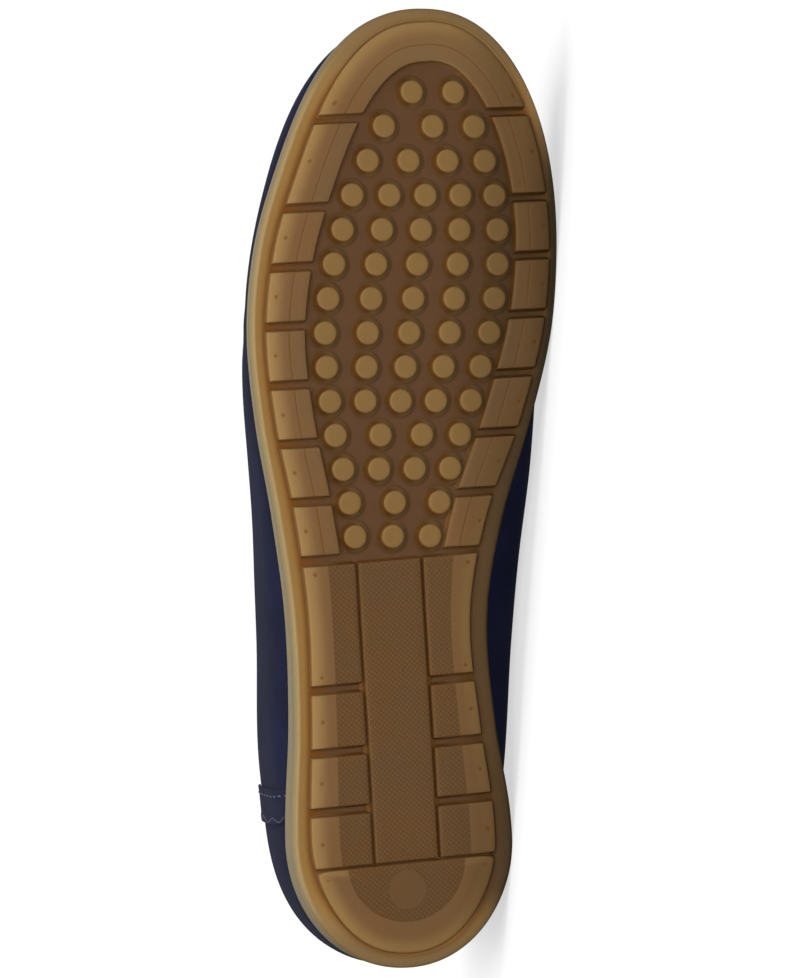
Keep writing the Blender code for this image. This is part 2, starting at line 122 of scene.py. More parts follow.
soleForm = {
    "ends": (-0.75, 256.2),
    "heelRound": (35.0, 2.1),
    "toeRound": (80.0, 2.25),
    "plan": table(
        "x centre half",
        (0, 1.25, 29.25),
        (40, 0.75, 29.75),
        (65, -1.0, 27.3),
        (95, -2.65, 27.05),
        (120, -2.55, 31.05),
        (145, -1.25, 37.05),
        (168, 0.4, 41.0),
        (190, 2.15, 41.4),
        (215, 5.15, 40.45),
        (257, 8.4, 39.8),
    ),
    "wall": table(
        "x top",
        (0, 14.8),
        (40, 14.5),
        (80, 12.8),
        (115, 11.0),
        (150, 10.0),
        (190, 9.5),
        (256, 9.5),
    ),
    "toeSpring": (8.0, 178.0),
    "arch": (1.0, 50.0, 138.0),
    "heelSpring": (0.9, 12.0),
    "rim": table(  # from the valley beside the tread out over the bead to the wall
        "step share lift endLift",
        (0, 1.2, 2.6, 2.6),
        (1, 0.92, 2.6, 0.85),
        (2, 0.7, 2.35, 0.85),
        (3, 0.42, 1.95, 1.05),
        (4, 0.17, 1.65, 1.4),
        (5, 0.055, 2.1, 2.1),
        (6, 0.015, 3.5, 3.5),
        (7, 0.0, 5.6, 5.6),
    ),
    "wallEdge": (0.7, 0.8),
    "wallBow": 0.35,
    "endValley": ((22.0, 4.0), (226.0, 246.0)),  # the valley runs out towards heel and toe between these
    "aroundSteps": 170,
    "acrossSteps": 9,
    "rimSteps": 34,
    "wallSteps": 8,
    "edgeSteps": 5,
}


def bottomLine(x):
    # toe spring, arch and the bevel of the heel
    rise, start = soleForm["toeSpring"]
    toe = rise * (np.clip(x - start, 0, None) / (soleForm["ends"][1] - start)) ** 2
    rise, start, end = soleForm["arch"]
    arch = rise * np.sin(np.pi * np.clip((x - start) / (end - start), 0, 1)) ** 2
    rise, end = soleForm["heelSpring"]
    return toe + arch + rise * np.clip((end - x) / end, 0, 1) ** 2


def wallTop(x):
    # upper edge of the sole's wall, bent with the sole
    return along(soleForm["wall"], "top", x) + bottomLine(x)


def soleEdge(around):
    # around 0 to 1: heel to toe by the outer side, 1 to 2: back by the inner side
    side = np.where(np.mod(around, 2) <= 1, lateral, medial)
    back, front = soleForm["ends"]
    x = back + (front - back) / 2 * (1 - np.cos(np.pi * around))
    ends = rounded(x - back, *soleForm["heelRound"]) * rounded(front - x, *soleForm["toeRound"])
    plan = soleForm["plan"]
    return np.stack([x, along(plan, "centre", x) + side * along(plan, "half", x) * ends], axis=-1)


def insetEdge(around, inset):
    # the outline moved inwards square to itself
    step = 0.004
    run = soleEdge(around + step) - soleEdge(around - step)
    run /= np.linalg.norm(run, axis=-1, keepdims=True)
    inward = np.stack([-run[..., 1], run[..., 0]], axis=-1)
    return soleEdge(around) + inward * np.asarray(inset)[..., None]


# Meshes gathered from grids

def gridQuads(rows, columns, closed=False):
    # quads of a grid whose points run column by column in each row
    r, c = np.meshgrid(np.arange(rows - 1), np.arange(columns if closed else columns - 1), indexing="ij")
    here, above, n = r * columns, (r + 1) * columns, (c + 1) % columns
    return np.stack([here + c, here + n, above + n, above + c], axis=-1).reshape(-1, 4)


def closedBody(rings, acrossSteps):
    # rings round an outline, the lowest and the highest closed by strips from side to side
    steps = rings.shape[1] // 2
    pile, quads = [rings.reshape(-1, 3)], [gridQuads(len(rings), 2 * steps, True)]
    across = np.linspace(0, 1, acrossSteps)[:, None, None]
    for ring, turned in ((rings[0], -1), (rings[-1], 1)):
        outer, inner = ring[: steps + 1], ring[np.r_[0, 2 * steps - 1 : steps - 1 : -1]]
        quads.append(gridQuads(acrossSteps, steps + 1)[:, ::turned] + sum(map(len, pile)))
        pile.append((outer + (inner - outer) * across).reshape(-1, 3))
    return np.concatenate(pile), np.concatenate(quads)


class Skin:
    # several surfaces in one mesh, with numbers kept on the points for the finish
    def __init__(self, **marks):
        self.start = 0
        self.points, self.quads, self.caps = [], [], []
        self.plainMarks, self.marks = marks, {name: [] for name in marks}

    def add(self, points, quads, caps=(), **marks):
        points = np.asarray(points, dtype=float).reshape(-1, 3)
        corners = points[quads] - points.mean(axis=0)
        halves = np.cross(corners[:, 2] - corners[:, 0], corners[:, 3] - corners[:, 1])
        if np.einsum("ij,ij->", corners.mean(axis=1), halves) < 0:
            quads = quads[:, ::-1]
            caps = [cap[::-1] for cap in caps]
        self.quads.append(quads + self.start)
        self.caps += [np.asarray(cap) + self.start for cap in caps]
        self.points.append(points)
        marks["place"] = points  # where each point lies before the whole is bent
        for name, plain in self.plainMarks.items():
            shape = (len(points), *np.shape(plain))
            values = np.reshape(marks[name], shape) if name in marks else np.full(shape, plain)
            self.marks[name].append(values)
        self.start += len(points)

    def addSheet(self, points, turned):
        # an open grid, its faces turned over or not
        quads = gridQuads(*points.shape[:2])
        self.quads.append((quads[:, ::-1] if turned else quads) + self.start)
        self.points.append(points.reshape(-1, 3))
        self.start += len(self.points[-1])

    def make(self, name, shape=None):
        # equal points are welded, and quads that lose a corner become triangles
        points = np.concatenate(self.points)
        _, kept, inverse = np.unique(np.round(points, 4), axis=0, return_index=True, return_inverse=True)
        inverse = inverse.reshape(-1)
        quads = inverse[np.concatenate(self.quads)]
        same = quads == np.roll(quads, -1, axis=1)
        lost = same.sum(axis=1)
        thirds = quads[lost == 1][~same[lost == 1]].reshape(-1, 3)
        faces = quads[lost == 0].tolist() + thirds.tolist() + [inverse[cap].tolist() for cap in self.caps]
        welded = points[kept]
        mesh = bpy.data.meshes.new(name)
        mesh.from_pydata(toWorld(welded if shape is None else shape(welded)).tolist(), [], faces)
        for mark, chunks in self.marks.items():
            values = np.concatenate(chunks)[kept].astype(np.float32)
            kind, field = ("FLOAT_VECTOR", "vector") if values.ndim == 2 else ("FLOAT", "value")
            mesh.attributes.new(mark, kind, "POINT").data.foreach_set(field, values.ravel())
        mesh.validate()
        mesh.shade_smooth()
        return mesh


def linked(name, data):
    # a new object of this scene
    thing = bpy.data.objects.new(name, data)
    bpy.context.scene.collection.objects.link(thing)
    return thing


def dressed(name, mesh, finish, slotName, *nodes):
    # a piece of the shoe's one body, standing for its solids where it has any
    piece = linked(name, mesh)
    mesh.materials.append(finish.material)
    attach(piece, "root")
    if nodes:
        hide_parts(*nodes)
    print("piece:", name, len(mesh.polygons), "faces")
    return piece


# Finishes: sums of sockets write their own Math nodes

def fromScreen(red, green, blue):
    # a screen colour, 0 to 255, as the linear colour that the shader takes
    shares = np.array([red, green, blue]) / 255
    linear = np.where(shares <= 0.04045, shares / 12.92, ((shares + 0.055) / 1.055) ** 2.4)
    return (*linear.tolist(), 1.0)


def palette(**colours):
    return {name: fromScreen(*colour) for name, colour in colours.items()}


class Wire:
    def __init__(self, finish, socket):
        self.finish, self.socket = finish, socket

    def sum(self, operation, first, second):
        return self.finish.node("Math", {"operation": operation}, {0: first, 1: second})

    def __add__(self, other):
        return self.sum("ADD", self, other)

    __radd__ = __add__

    def __sub__(self, other):
        return self.sum("SUBTRACT", self, other)

    def __rsub__(self, other):
        return self.sum("SUBTRACT", other, self)

    def __mul__(self, other):
        return self.sum("MULTIPLY", self, other)

    __rmul__ = __mul__

    def __abs__(self):
        return self.sum("ABSOLUTE", self, 0)


class Finish:
    def __init__(self, name, **fixed):
        self.material = bpy.data.materials.new(name)
        self.material.use_nodes = True
        self.tree = self.material.node_tree
        self.shader = self.tree.nodes["Principled BSDF"]
        self.surface(**fixed)

    def feed(self, socket, value):
        if isinstance(value, Wire):
            self.tree.links.new(value.socket, socket)
        else:
            socket.default_value = value

    def surface(self, **sockets):
        for socket, value in sockets.items():
            self.feed(self.shader.inputs[socket.replace("_", " ")], value)

    def node(self, kind, settings, sockets, output=0):
        # any node: its settings first, then the values or links of its sockets
        made = self.tree.nodes.new("ShaderNode" + kind)
        for name, value in settings.items():
            setattr(made, name, value)
        for name, value in sockets.items():
            self.feed(made.inputs[name], value)
        return Wire(self, made.outputs[output])

    def mark(self, name, output="Fac"):
        return self.node("Attribute", {"attribute_name": name}, {}, output)

    def place(self):
        return self.node("TexCoord", {}, {}, "Object")

    def part(self, vector, axis):
        return self.node("SeparateXYZ", {}, {"Vector": vector}, axis)

    def step(self, wire, start, end):
        # 0 before start, 1 after end, eased between; start may be the larger
        ends = {"From Min": start, "From Max": end}
        return self.node("MapRange", {"interpolation_type": "SMOOTHSTEP"}, {"Value": wire, **ends})

    def mix(self, first, second, share):
        return self.node("Mix", {"data_type": "RGBA"}, {0: share, 6: first, 7: second}, 2)

    def noise(self, vector, scale, detail):
        sockets = {"Vector": vector, "Scale": scale, "Detail": detail, "Roughness": 0.55}
        return self.node("TexNoise", {}, sockets, "Fac")

    def bump(self, height, depth, strength):
        sockets = {"Height": height, "Distance": depth * mm, "Strength": strength}
        return self.node("Bump", {}, sockets, "Normal")


# Sole

treadForm = {
    "edge": table(  # inset from the sole outline and width of the edge lugs, both sides
        "x insetLateral insetMedial lugLateral lugMedial",
        (0, 4.3, 4.3, 10.4, 9.6),
        (12, 4.9, 5.1, 10.4, 9.6),
        (35, 4.4, 5.2, 10.4, 9.6),
        (65, 3.9, 4.7, 10.4, 10.2),
        (95, 4.4, 5.3, 10.4, 9.6),
        (120, 4.5, 4.9, 10.1, 9.7),
        (140, 4.0, 3.5, 10.2, 10.1),
        (165, 3.7, 2.8, 10.3, 10.0),
        (190, 4.1, 2.4, 10.6, 9.5),
        (215, 4.5, 3.0, 10.3, 9.5),
        (257, 4.0, 3.8, 10.8, 10.8),
    ),
    "crossSearch": (0.02, 0.98, 600),  # where along the outline a crossing is looked for, and the steps
    "gap": 2.5,
    "lugLines": [226.5] + [203.2 - 15.6 * k for k in range(7)],
    "lugSlope": 0.06,
    "panelLines": [109.6, 75.4, 58.7, 43.0, 27.7],
    "panelSlope": 0.08,
    "heelGap": 0.8,
    "stripHalf": 8.5,
    "stripGroove": 0.9,
    "stripEnds": (1.3, -3.5),
    "plate": {"sunk": 2.1, "under": 0.7},  # part closes the thin grooves, and reaches under the blocks
    "lugLine": 0.58,  # share across a lug where its fine groove runs
    "hatchFrom": 0.46,  # share across a panel where its hatching starts
    "lugPin": {lateral: (0.2, 0.5), medial: (0.17, 0.5)},
    "panelPin": {lateral: 2.7, medial: 2.1},
    "endPin": 2.2,
    "toePins": ((2.5, 2.2), (2.0, -2.2)),
    "heelPins": ((23.2, -20.3), (26.9, 22.8)),
    "heelHatch": (28.0, 1.0, 15.9),
    "heelDisc": (20.5, 1.4, 5.3),
    "heelGroove": {"half": 0.26, "depth": 0.042, "narrower": 1.6},
    "heelPast": 6.0,  # how far past its front line the heel's outline is followed
    "heelCorner": 14.0,  # the higher, the sharper its two front corners
    "heelSteps": {"edge": 400, "turn": 240, "inward": 33},
    "blockSteps": {  # even steps across and along each kind of block
        "lug": (8, 10), "toe": (8, 100), "panel": (10, 12),
        "strip": (8, 40), "plate": (2, 40), "seam": (2, 30),
    },
}
blockProfile = table(  # distance in from a block's edge and height over the tread plane, from its root up
    "into lift",
    (-0.95, 2.9),
    (-0.7, 2.58),
    (-0.45, 2.33),
    (-0.28, 1.95),
    (-0.16, 1.35),
    (-0.08, 0.85),
    (0.0, 0.48),
    (0.1, 0.24),
    (0.26, 0.07),
    (0.5, 0.0),
)
fineGroove = {"half": 0.2, "depth": 0.07}
pinDimple = {"radius": 0.6, "depth": 0.16}
crown = {"reach": 5.0, "drop": 0.75}  # the outer edge of the tread falls away in a soft curve
closeSteps = np.array([-0.6, -0.35, -0.15, 0, 0.15, 0.35, 0.6])
cornerReach = 1.0  # how far in from its edges a block's corners turn round
far = 9.0  # stands for "nowhere near" in the marks
soleMarks = {  # what the points carry where a surface gives nothing else
    **dict.fromkeys(("edge", "outer", "line", "pin"), far),
    "hatch": -far,
    **dict.fromkeys(("still", "stud", "away", "rim"), 0.0),
    "valley": soleForm["rim"]["share"][0],
}


def bySide(name, around):
    # a column of the edge table, read on the side that "around" is on
    x = soleEdge(around)[..., 0]
    outer, inner = along(treadForm["edge"], name + "Lateral", x), along(treadForm["edge"], name + "Medial", x)
    return np.where(np.mod(around, 2) <= 1, outer, inner)


def treadEdge(around, lugShare):
    # lugShare 0 is the outer edge of the tread, 1 the inner edge of the lugs
    return insetEdge(around, bySide("inset", around) + lugShare * bySide("lug", around))


def crossing(side, lugShare, line, slope):
    # where a tread edge of one side meets the slanted line x = line + slope * y
    around = np.linspace(*treadForm["crossSearch"])
    around = around if side == lateral else 2 - around
    plan = treadEdge(around, lugShare)
    past = plan[:, 0] - line - slope * plan[:, 1]
    k = int(np.argmax(past > 0))
    return around[k - 1] + past[k - 1] / (past[k - 1] - past[k]) * (around[k] - around[k - 1])


def treadRun(lugShare, slope, *marks):
    # along a tread edge from one slanted line to another; each mark is a side and a line
    start, end = (crossing(side, lugShare, line, slope) for side, line in marks)
    return lambda t: treadEdge(start + (end - start) * t, lugShare)


def stripRun(offset, back, front, slope):
    # straight edge of the centre strip between two slanted lines
    endBack, endFront = treadForm["stripEnds"]
    heelLine = treadForm["panelLines"][-1]
    lean = (endFront - endBack) / (treadForm["lugLines"][-1] - heelLine)

    def run(t):
        base = back + (front - back) * t
        y = (endBack + offset + lean * (base - heelLine)) / (1 - lean * slope)
        return np.stack([base + slope * y, y], axis=-1)

    return run


def crossRun(line):
    # from side to side along a slanted line, a little short of the tread's edges
    slope, share = treadForm["panelSlope"], 0.1
    start, end = (treadEdge(crossing(side, share, line, slope), share)[1] for side in (lateral, medial))

    def run(t):
        y = start + (end - start) * t
        return np.stack([line + slope * y, y], axis=-1)

    return run


def sampled(size, steps, *spots):
    # places from one edge of a block to the other: both flanks, even steps, and close steps at fine spots
    flank = blockProfile["into"]
    places = [flank, size - flank, np.linspace(flank[-1], size - flank[-1], steps + 2)[1:-1]]
    places += [spot + closeSteps for spot in spots]
    return np.unique(np.round(np.concatenate(places), 3))


def blockLift(into, outer):
    # height by the way in from a block's edge, with the soft fall along the outer edge of the tread
    lift = along(blockProfile, "lift", into, "into")
    fall = crown["drop"] * np.clip(1 - np.clip(outer, 0, None) / crown["reach"], 0, 1) ** 2
    return lift + fall * np.clip(1 - lift / blockProfile["lift"][0], 0, 1)


def pinWay(a, b, spots):
    # the way to the nearest pinhole
    return np.min([np.full(a.shape, far)] + [np.hypot(a - atA, b - atB) for atA, atB in spots], axis=0)


def blockSurface(one, other, steps, line=None, hatchFrom=None, pins=(), outward=True, sunk=0.0):
    # height over a patch between two edge runs, by the distance to its nearest edge;
    # square corners turn round, x * sqrt(1 - y * y / 2) and the same with x and y swapped;
    # a pin below 1 is a share of the block, below 0 it counts from the far end
    t = np.linspace(0, 1, 41)
    width = np.linalg.norm(other(t) - one(t), axis=-1).mean()
    middle = (one(t) + other(t)) / 2
    length = np.linalg.norm(np.diff(middle, axis=0), axis=-1).sum()
    pinSpots = [(across if across > 1 else across * width, place % length) for across, place in pins]
    pinSpots = [(a, b * length if 0 < b < 1 else b) for a, b in pinSpots]
    lines = [] if line is None else [line * width]
    a = sampled(width, steps[0], *lines, *[spot[0] for spot in pinSpots])
    b = sampled(length, steps[1], *[spot[1] for spot in pinSpots])
    a, b = (grid.copy() for grid in np.meshgrid(a, b, indexing="ij"))
    nearA, nearB = np.minimum(a, width - a), np.minimum(b, length - b)
    edge = np.minimum(nearA, nearB)
    reach = cornerReach - blockProfile["into"][0]
    awayA, awayB = (np.clip((cornerReach - near) / reach, 0, 1) for near in (nearA, nearB))
    backA = (awayA - awayA * np.sqrt(1 - awayB**2 / 2)) * reach
    backB = (awayB - awayB * np.sqrt(1 - awayA**2 / 2)) * reach
    a += np.where(a < width / 2, backA, -backA)
    b += np.where(b < length / 2, backB, -backB)
    outer = a if outward else np.full(a.shape, far)
    groove = np.full(a.shape, far) if line is None else a - line * width
    hatch = np.full(a.shape, -far) if hatchFrom is None else a - hatchFrom * width
    pin = pinWay(a, b, pinSpots)
    lift = blockLift(edge, outer) + sunk
    lift = lift + fineGroove["depth"] * bell(groove / fineGroove["half"]) * (edge > -0.1)
    lift = lift + pinDimple["depth"] * bell(pin / pinDimple["radius"])
    first, last = one(b / length), other(b / length)
    plan = first + (last - first) * (a / width)[..., None]
    if sunk:
        edge = edge - far
    return plan, lift, {"edge": edge, "outer": outer, "line": groove, "pin": pin, "hatch": hatch}


def addBlock(skin, one, other, kind, **fine):
    # a block's grid of points, closed underneath by one face round its root
    plan, lift, marks = blockSurface(one, other, treadForm["blockSteps"][kind], **fine)
    index = np.arange(lift.size).reshape(lift.shape)
    rim = np.concatenate([index[0, :-1], index[:-1, -1], index[-1, :0:-1], index[:0:-1, 0]])
    points = np.concatenate([plan, lift[..., None]], axis=-1)
    skin.add(points, gridQuads(*lift.shape), [rim[::-1]], **marks)


def addTread(skin):
    # lugs down both edges, the toe band, hatched panels, centre strip and the plates in the thin grooves
    gap, lugLines, slope = treadForm["gap"], treadForm["lugLines"], treadForm["lugSlope"]
    for side in (lateral, medial):
        for front, back in zip(lugLines[:-1], lugLines[1:]):
            marks = (side, back + gap / 2), (side, front - gap / 2)
            runs = (treadRun(share, slope, *marks) for share in (0, 1))
            addBlock(skin, *runs, "lug", line=treadForm["lugLine"], pins=[treadForm["lugPin"][side]])
    line = lugLines[0] + gap / 2
    runs = (treadRun(share, slope, (lateral, line), (medial, line)) for share in (0, 1))
    addBlock(skin, *runs, "toe", line=treadForm["lugLine"], pins=treadForm["toePins"])
    lines, slope, heelGap = treadForm["panelLines"], treadForm["panelSlope"], treadForm["heelGap"]
    for side in (lateral, medial):
        for row, (front, back) in enumerate(zip(lines[:-1], lines[1:])):
            limits = (back + (heelGap if back == lines[-1] else gap) / 2, front - gap / 2, slope)
            inner = stripRun(side * (treadForm["stripHalf"] + treadForm["stripGroove"]), *limits)
            across, end = treadForm["panelPin"][side], treadForm["endPin"]
            pins = [(across, end), (across, -end)] if row == 0 else [(across, 0.5)]
            outer = treadRun(0, slope, (side, limits[0]), (side, limits[1]))
            addBlock(skin, outer, inner, "panel", hatchFrom=treadForm["hatchFrom"], pins=pins)
    limits = (lines[-1] + heelGap / 2, lugLines[-1] - gap / 2, slope)
    half = treadForm["stripHalf"]
    addBlock(skin, stripRun(-half, *limits), stripRun(half, *limits), "strip", hatchFrom=-1.0, outward=False)
    sunk, under = treadForm["plate"]["sunk"], treadForm["plate"]["under"]
    half += treadForm["stripGroove"] + under
    limits = (lines[-1], limits[1] - under, slope)
    addBlock(skin, stripRun(-half, *limits), stripRun(half, *limits), "plate", outward=False, sunk=sunk)
    runs = [crossRun(lines[-1] + way * (heelGap / 2 + under)) for way in (-1, 1)]
    addBlock(skin, *runs, "seam", outward=False, sunk=sunk)


def addHeelBlock(skin):
    # rings about the smooth disc: the outline is the nearer of the tread edge and the slanted front line
    discX, discY, discRadius = treadForm["heelDisc"]
    steps, corner, fine = treadForm["heelSteps"], treadForm["heelCorner"], treadForm["heelGroove"]
    line, slope = treadForm["panelLines"][-1] - treadForm["heelGap"] / 2, treadForm["panelSlope"]
    ends = [crossing(side, 0, line + treadForm["heelPast"], slope) for side in (lateral, medial)]
    edge = treadEdge(np.linspace(ends[0], ends[1] - 2, steps["edge"]), 0) - (discX, discY)
    turn = fullTurn(steps["turn"])
    angle, away = np.arctan2(edge[:, 1], edge[:, 0]), np.hypot(edge[:, 0], edge[:, 1])
    edgeReach = np.interp(turn, angle, away, period=2 * np.pi)
    ahead = np.maximum(np.cos(turn) - slope * np.sin(turn), 0.05)
    frontReach = (line + slope * discY - discX) / ahead
    reach = (edgeReach**-corner + frontReach**-corner) ** (-1 / corner)
    grow = np.gradient(np.concatenate([reach[-2:], reach, reach[:2]]), turn[1])[2:-2]
    lengthen = np.sqrt(1 + (grow / reach) ** 2)
    flank = blockProfile["into"][:, None]
    inner = np.linspace(0, 1, steps["inward"] + 1)[1:, None]
    rings = reach - flank * lengthen
    radius = np.concatenate([rings, rings[-1] * (1 - inner)])
    into = np.concatenate([flank + 0 * turn, flank[-1] + rings[-1] * inner])
    x, y = discX + radius * np.cos(turn), discY + radius * np.sin(turn)
    outer = (edgeReach - radius) / lengthen
    zoneX, zoneY, zoneRadius = treadForm["heelHatch"]
    fromZone, fromDisc = np.hypot(x - zoneX, y - zoneY) - zoneRadius, radius - discRadius
    groove = np.where(np.abs(fromZone) < np.abs(fromDisc), fromZone, fromDisc * fine["narrower"])
    pin = pinWay(x, y, treadForm["heelPins"])
    lift = blockLift(into, outer) + fine["depth"] * bell(groove / fine["half"]) * (into > 0)
    lift = lift + pinDimple["depth"] * bell(pin / pinDimple["radius"])
    marks = {"edge": into, "outer": outer, "line": groove, "pin": pin}
    marks |= {"hatch": -fromZone, "still": fromDisc < 0}
    cap = np.arange(len(turn))[::-1]
    skin.add(np.stack([x, y, lift], axis=-1), gridQuads(*x.shape, True), [cap], **marks)


studForm = {
    "first": 233.1,
    "pitch": 9.12,
    "sag": 0.6,
    "lean": 0.012,
    "rows": table(  # from the toe back: how many, the two end places across, how the middle ones bow
        "count lateral medial bow",
        (2, 3.5, 15.0, 0.0),
        (3, -4.4, 20.4, 0.16),
        (4, -9.1, 23.1, 0.06),
        (5, -13.5, 25.6, 0.05),
        (5, -16.3, 26.3, 0.02),
        (5, -18.7, 26.2, 0.03),
        (5, -20.3, 25.3, 0.04),
        (5, -21.1, 23.9, 0.04),
        (5, -20.7, 21.5, 0.04),
        (5, -19.8, 18.8, 0.0),
        (4, -18.3, 15.8, 0.12),
        (4, -16.2, 13.1, 0.0),
        (3, -14.3, 10.2, 0.0),
        (3, -12.8, 7.7, 0.0),
    ),
    "profile": table(  # from the root up over the edge to the middle of the top
        "radius lift",
        (5.2, 2.9),
        (5.0, 2.64),
        (4.7, 2.58),
        (4.4, 2.44),
        (4.1, 2.2),
        (3.85, 1.88),
        (3.65, 1.5),
        (3.48, 1.1),
        (3.32, 0.74),
        (3.18, 0.48),
        (3.04, 0.28),
        (2.86, 0.11),
        (2.6, 0.02),
        (2.1, 0.0),
        (1.0, 0.03),
        (0.0, 0.04),
    ),
    "top": 3.04,  # radius at which the flank begins
    "sides": 26,
}


def addStuds(skin):
    # one turned profile about every stud's own centre
    rows = studForm["rows"]
    centres = []
    for k, count in enumerate(rows["count"]):
        t = np.linspace(0, 1, int(count))
        y = rows["lateral"][k] + (rows["medial"][k] - rows["lateral"][k]) * (t + rows["bow"][k] * t * (1 - t))
        sag = studForm["sag"] * math.sin(math.pi * k / (len(rows["count"]) - 1))
        x = studForm["first"] - k * studForm["pitch"] - sag + studForm["lean"] * y
        centres += list(zip(x, y))
    radius, lift = (studForm["profile"][name][:, None] for name in ("radius", "lift"))
    turn = fullTurn(studForm["sides"])
    shape = np.stack([radius * np.cos(turn), radius * np.sin(turn), lift + 0 * turn], axis=-1)
    quads, cap = gridQuads(*shape.shape[:2], True), np.arange(len(turn))[::-1]
    marks = {"edge": studForm["top"] - radius + 0 * turn, "away": np.sin(turn) + 0 * radius}
    marks["stud"] = np.ones(shape.shape[:2])
    for centre in centres:
        skin.add(shape + (*centre, 0), quads, [cap], **marks)


def addSoleBody(skin):
    # valley, bead and wall carried round the outline
    around = np.linspace(0, 2, 2 * soleForm["aroundSteps"], endpoint=False)
    inset, x = bySide("inset", around), soleEdge(around)[:, 0]
    rim = soleForm["rim"]
    rise = np.linspace(0, rim["step"][-1], soleForm["rimSteps"])[:, None]
    share, lift, endLift = (along(rim, name, rise, "step") for name in ("share", "lift", "endLift"))
    lift = lift + (endLift - lift) * sum(eased(x, *run) for run in soleForm["endValley"])
    top = along(soleForm["wall"], "top", x)
    edgeIn, edgeDrop = soleForm["wallEdge"]
    climb = np.linspace(0, 1, soleForm["wallSteps"] + 1)[1:, None]
    turn = np.linspace(0, np.pi / 2, soleForm["edgeSteps"] + 1)[1:, None]
    bow = soleForm["wallBow"] * np.sin(np.pi * climb)
    wall = lift[-1] + (top - edgeDrop - lift[-1]) * climb
    insets = np.concatenate([share * inset, bow + 0 * inset, edgeIn * (1 - np.cos(turn)) + 0 * inset])
    lifts = np.concatenate([lift, wall, top - edgeDrop * (1 - np.sin(turn))])
    plan = insetEdge(np.broadcast_to(around, insets.shape), insets)
    rings = np.concatenate([plan, lifts[..., None]], axis=-1)
    points, quads = closedBody(rings, soleForm["acrossSteps"])
    valley = np.full(len(points), soleMarks["valley"])
    valley[: lifts.size] = 0.0
    valley[: len(share) * len(around)] = np.repeat(share, len(around))
    skin.add(points, quads, rim=np.arange(len(points)) < lifts.size, valley=valley)


def bent(points):
    # the flat sole takes its toe spring, arch and heel bevel
    return points + bottomLine(points[:, :1]) * (0, 0, 1)


# several of these colours are painted light: edge, pale, bead and beadAmber lighten, mostly as painted
# highlights; floor in the recesses, flank, studFlank, valley, the inner colours and shade darken as painted
# shade
gumColours = palette(
    tread=(101, 76, 48),
    amber=(105, 76, 46),
    edge=(132, 109, 73),
    pale=(138, 110, 66),
    floor=(84, 58, 37),
    flank=(84, 50, 13),
    lugFlank=(106, 72, 38),
    groove=(62, 40, 20),
    pin=(104, 62, 16),
    wall=(116, 105, 82),
    bead=(132, 112, 75),
    beadAmber=(141, 106, 58),
    valley=(98, 58, 18),
    stud=(114, 87, 50),
    studFlank=(74, 43, 12),
    beadInner=(74, 53, 29),
    beadEnd=(115, 92, 59),
    valleyInner=(70, 47, 22),
    shade=(38, 30, 16),
)
gumZones = dict(  # where each zone starts, where it is full, and how strong it is there
    cloud=(0.4, 0.62, 1),
    speck=(0.56, 0.72, 0.16),
    outerSide=(29.0, 13.0, 1),
    innerShade=(10.0, 22.0, 1),
    innerToe=(200.0, 232.0, 0.7),
    amber=(8.5, 4.0, 0.8),
    pale=(5.0, 0.3, 1),
    edge=(0.7, 0.1, 0.08),
    floor=(1.9, 2.5, 1),
    studShade=(-1.75, -0.8, 1),
    away=(-0.5, 0.5, 0.95),
    flank=(0.12, -0.12, 1),
    root=(2.75, 2.35, 1),
    lug=(8.6, 8.0, 1),
    outerHalf=(11.0, 5.0, 1),
    pin=(0.7, 0.3, 0.75),
    bead=(0.42, 0.08, 1),
    beadCrest=(0.6, 0.1, 0.3),
    beadDusk=(22.0, 32.0, 0.5),
    beadNight=(33.0, 42.0, 0.4),
    hollow=(0.45, 1.05, 1),
    wall=(3.0, 6.4, 1),
    dusk=(12.0, 30.0, 0.26),
    night=(32.0, 42.0, 0.28),
    innerDusk=(8.0, 20.0, 0.1),
    innerDuskEnd=(205.0, 226.0, 1),
    heelDusk=(45.0, 15.0, 0.07),
    floorDusk=(20.0, 36.0, 0.3),
    hatch=(0.0, 0.2, 1),
    hatchEdge=(-0.05, 0.2, 1),
    diamond=(0.2, 0.95, 1),
    hatchLine=(0.22, 0.08, 0.2),
    hatchLineEdge=(0.1, 0.3, 1),
    line=(0.24, 0.08, 0.5),
    lineEdge=(-0.1, 0.2, 1),
)
gumShares = dict(
    pale=0.12,
    paleOuterHighlight=0.5,
    toeHighlight=0.15,
    flank=0.85,
    toeHollow=0.65,
    heelHollow=0.25,
    cut=0.26,
    hatch=0.3,
)
hatchForm = {"pitch": 1.0, "turn": math.radians(39.2)}
gumBody = {
    "Subsurface_Weight": 0.25,
    "Subsurface_Scale": 0.002,
    "Subsurface_Radius": (1.0, 0.42, 0.12),
    "Specular_IOR_Level": 0.03,
}
gumGrain = {
    "cloud": (0.045, 2.0),  # scale and detail of each noise
    "speck": (2.2, 3.0),
    "rough": 0.42,
    "roughSpeck": 0.12,
    "roughHatch": 0.1,
    "speckHeight": 0.2,
    "cutDepth": 0.6,
    "bump": (0.12, 0.8),
}


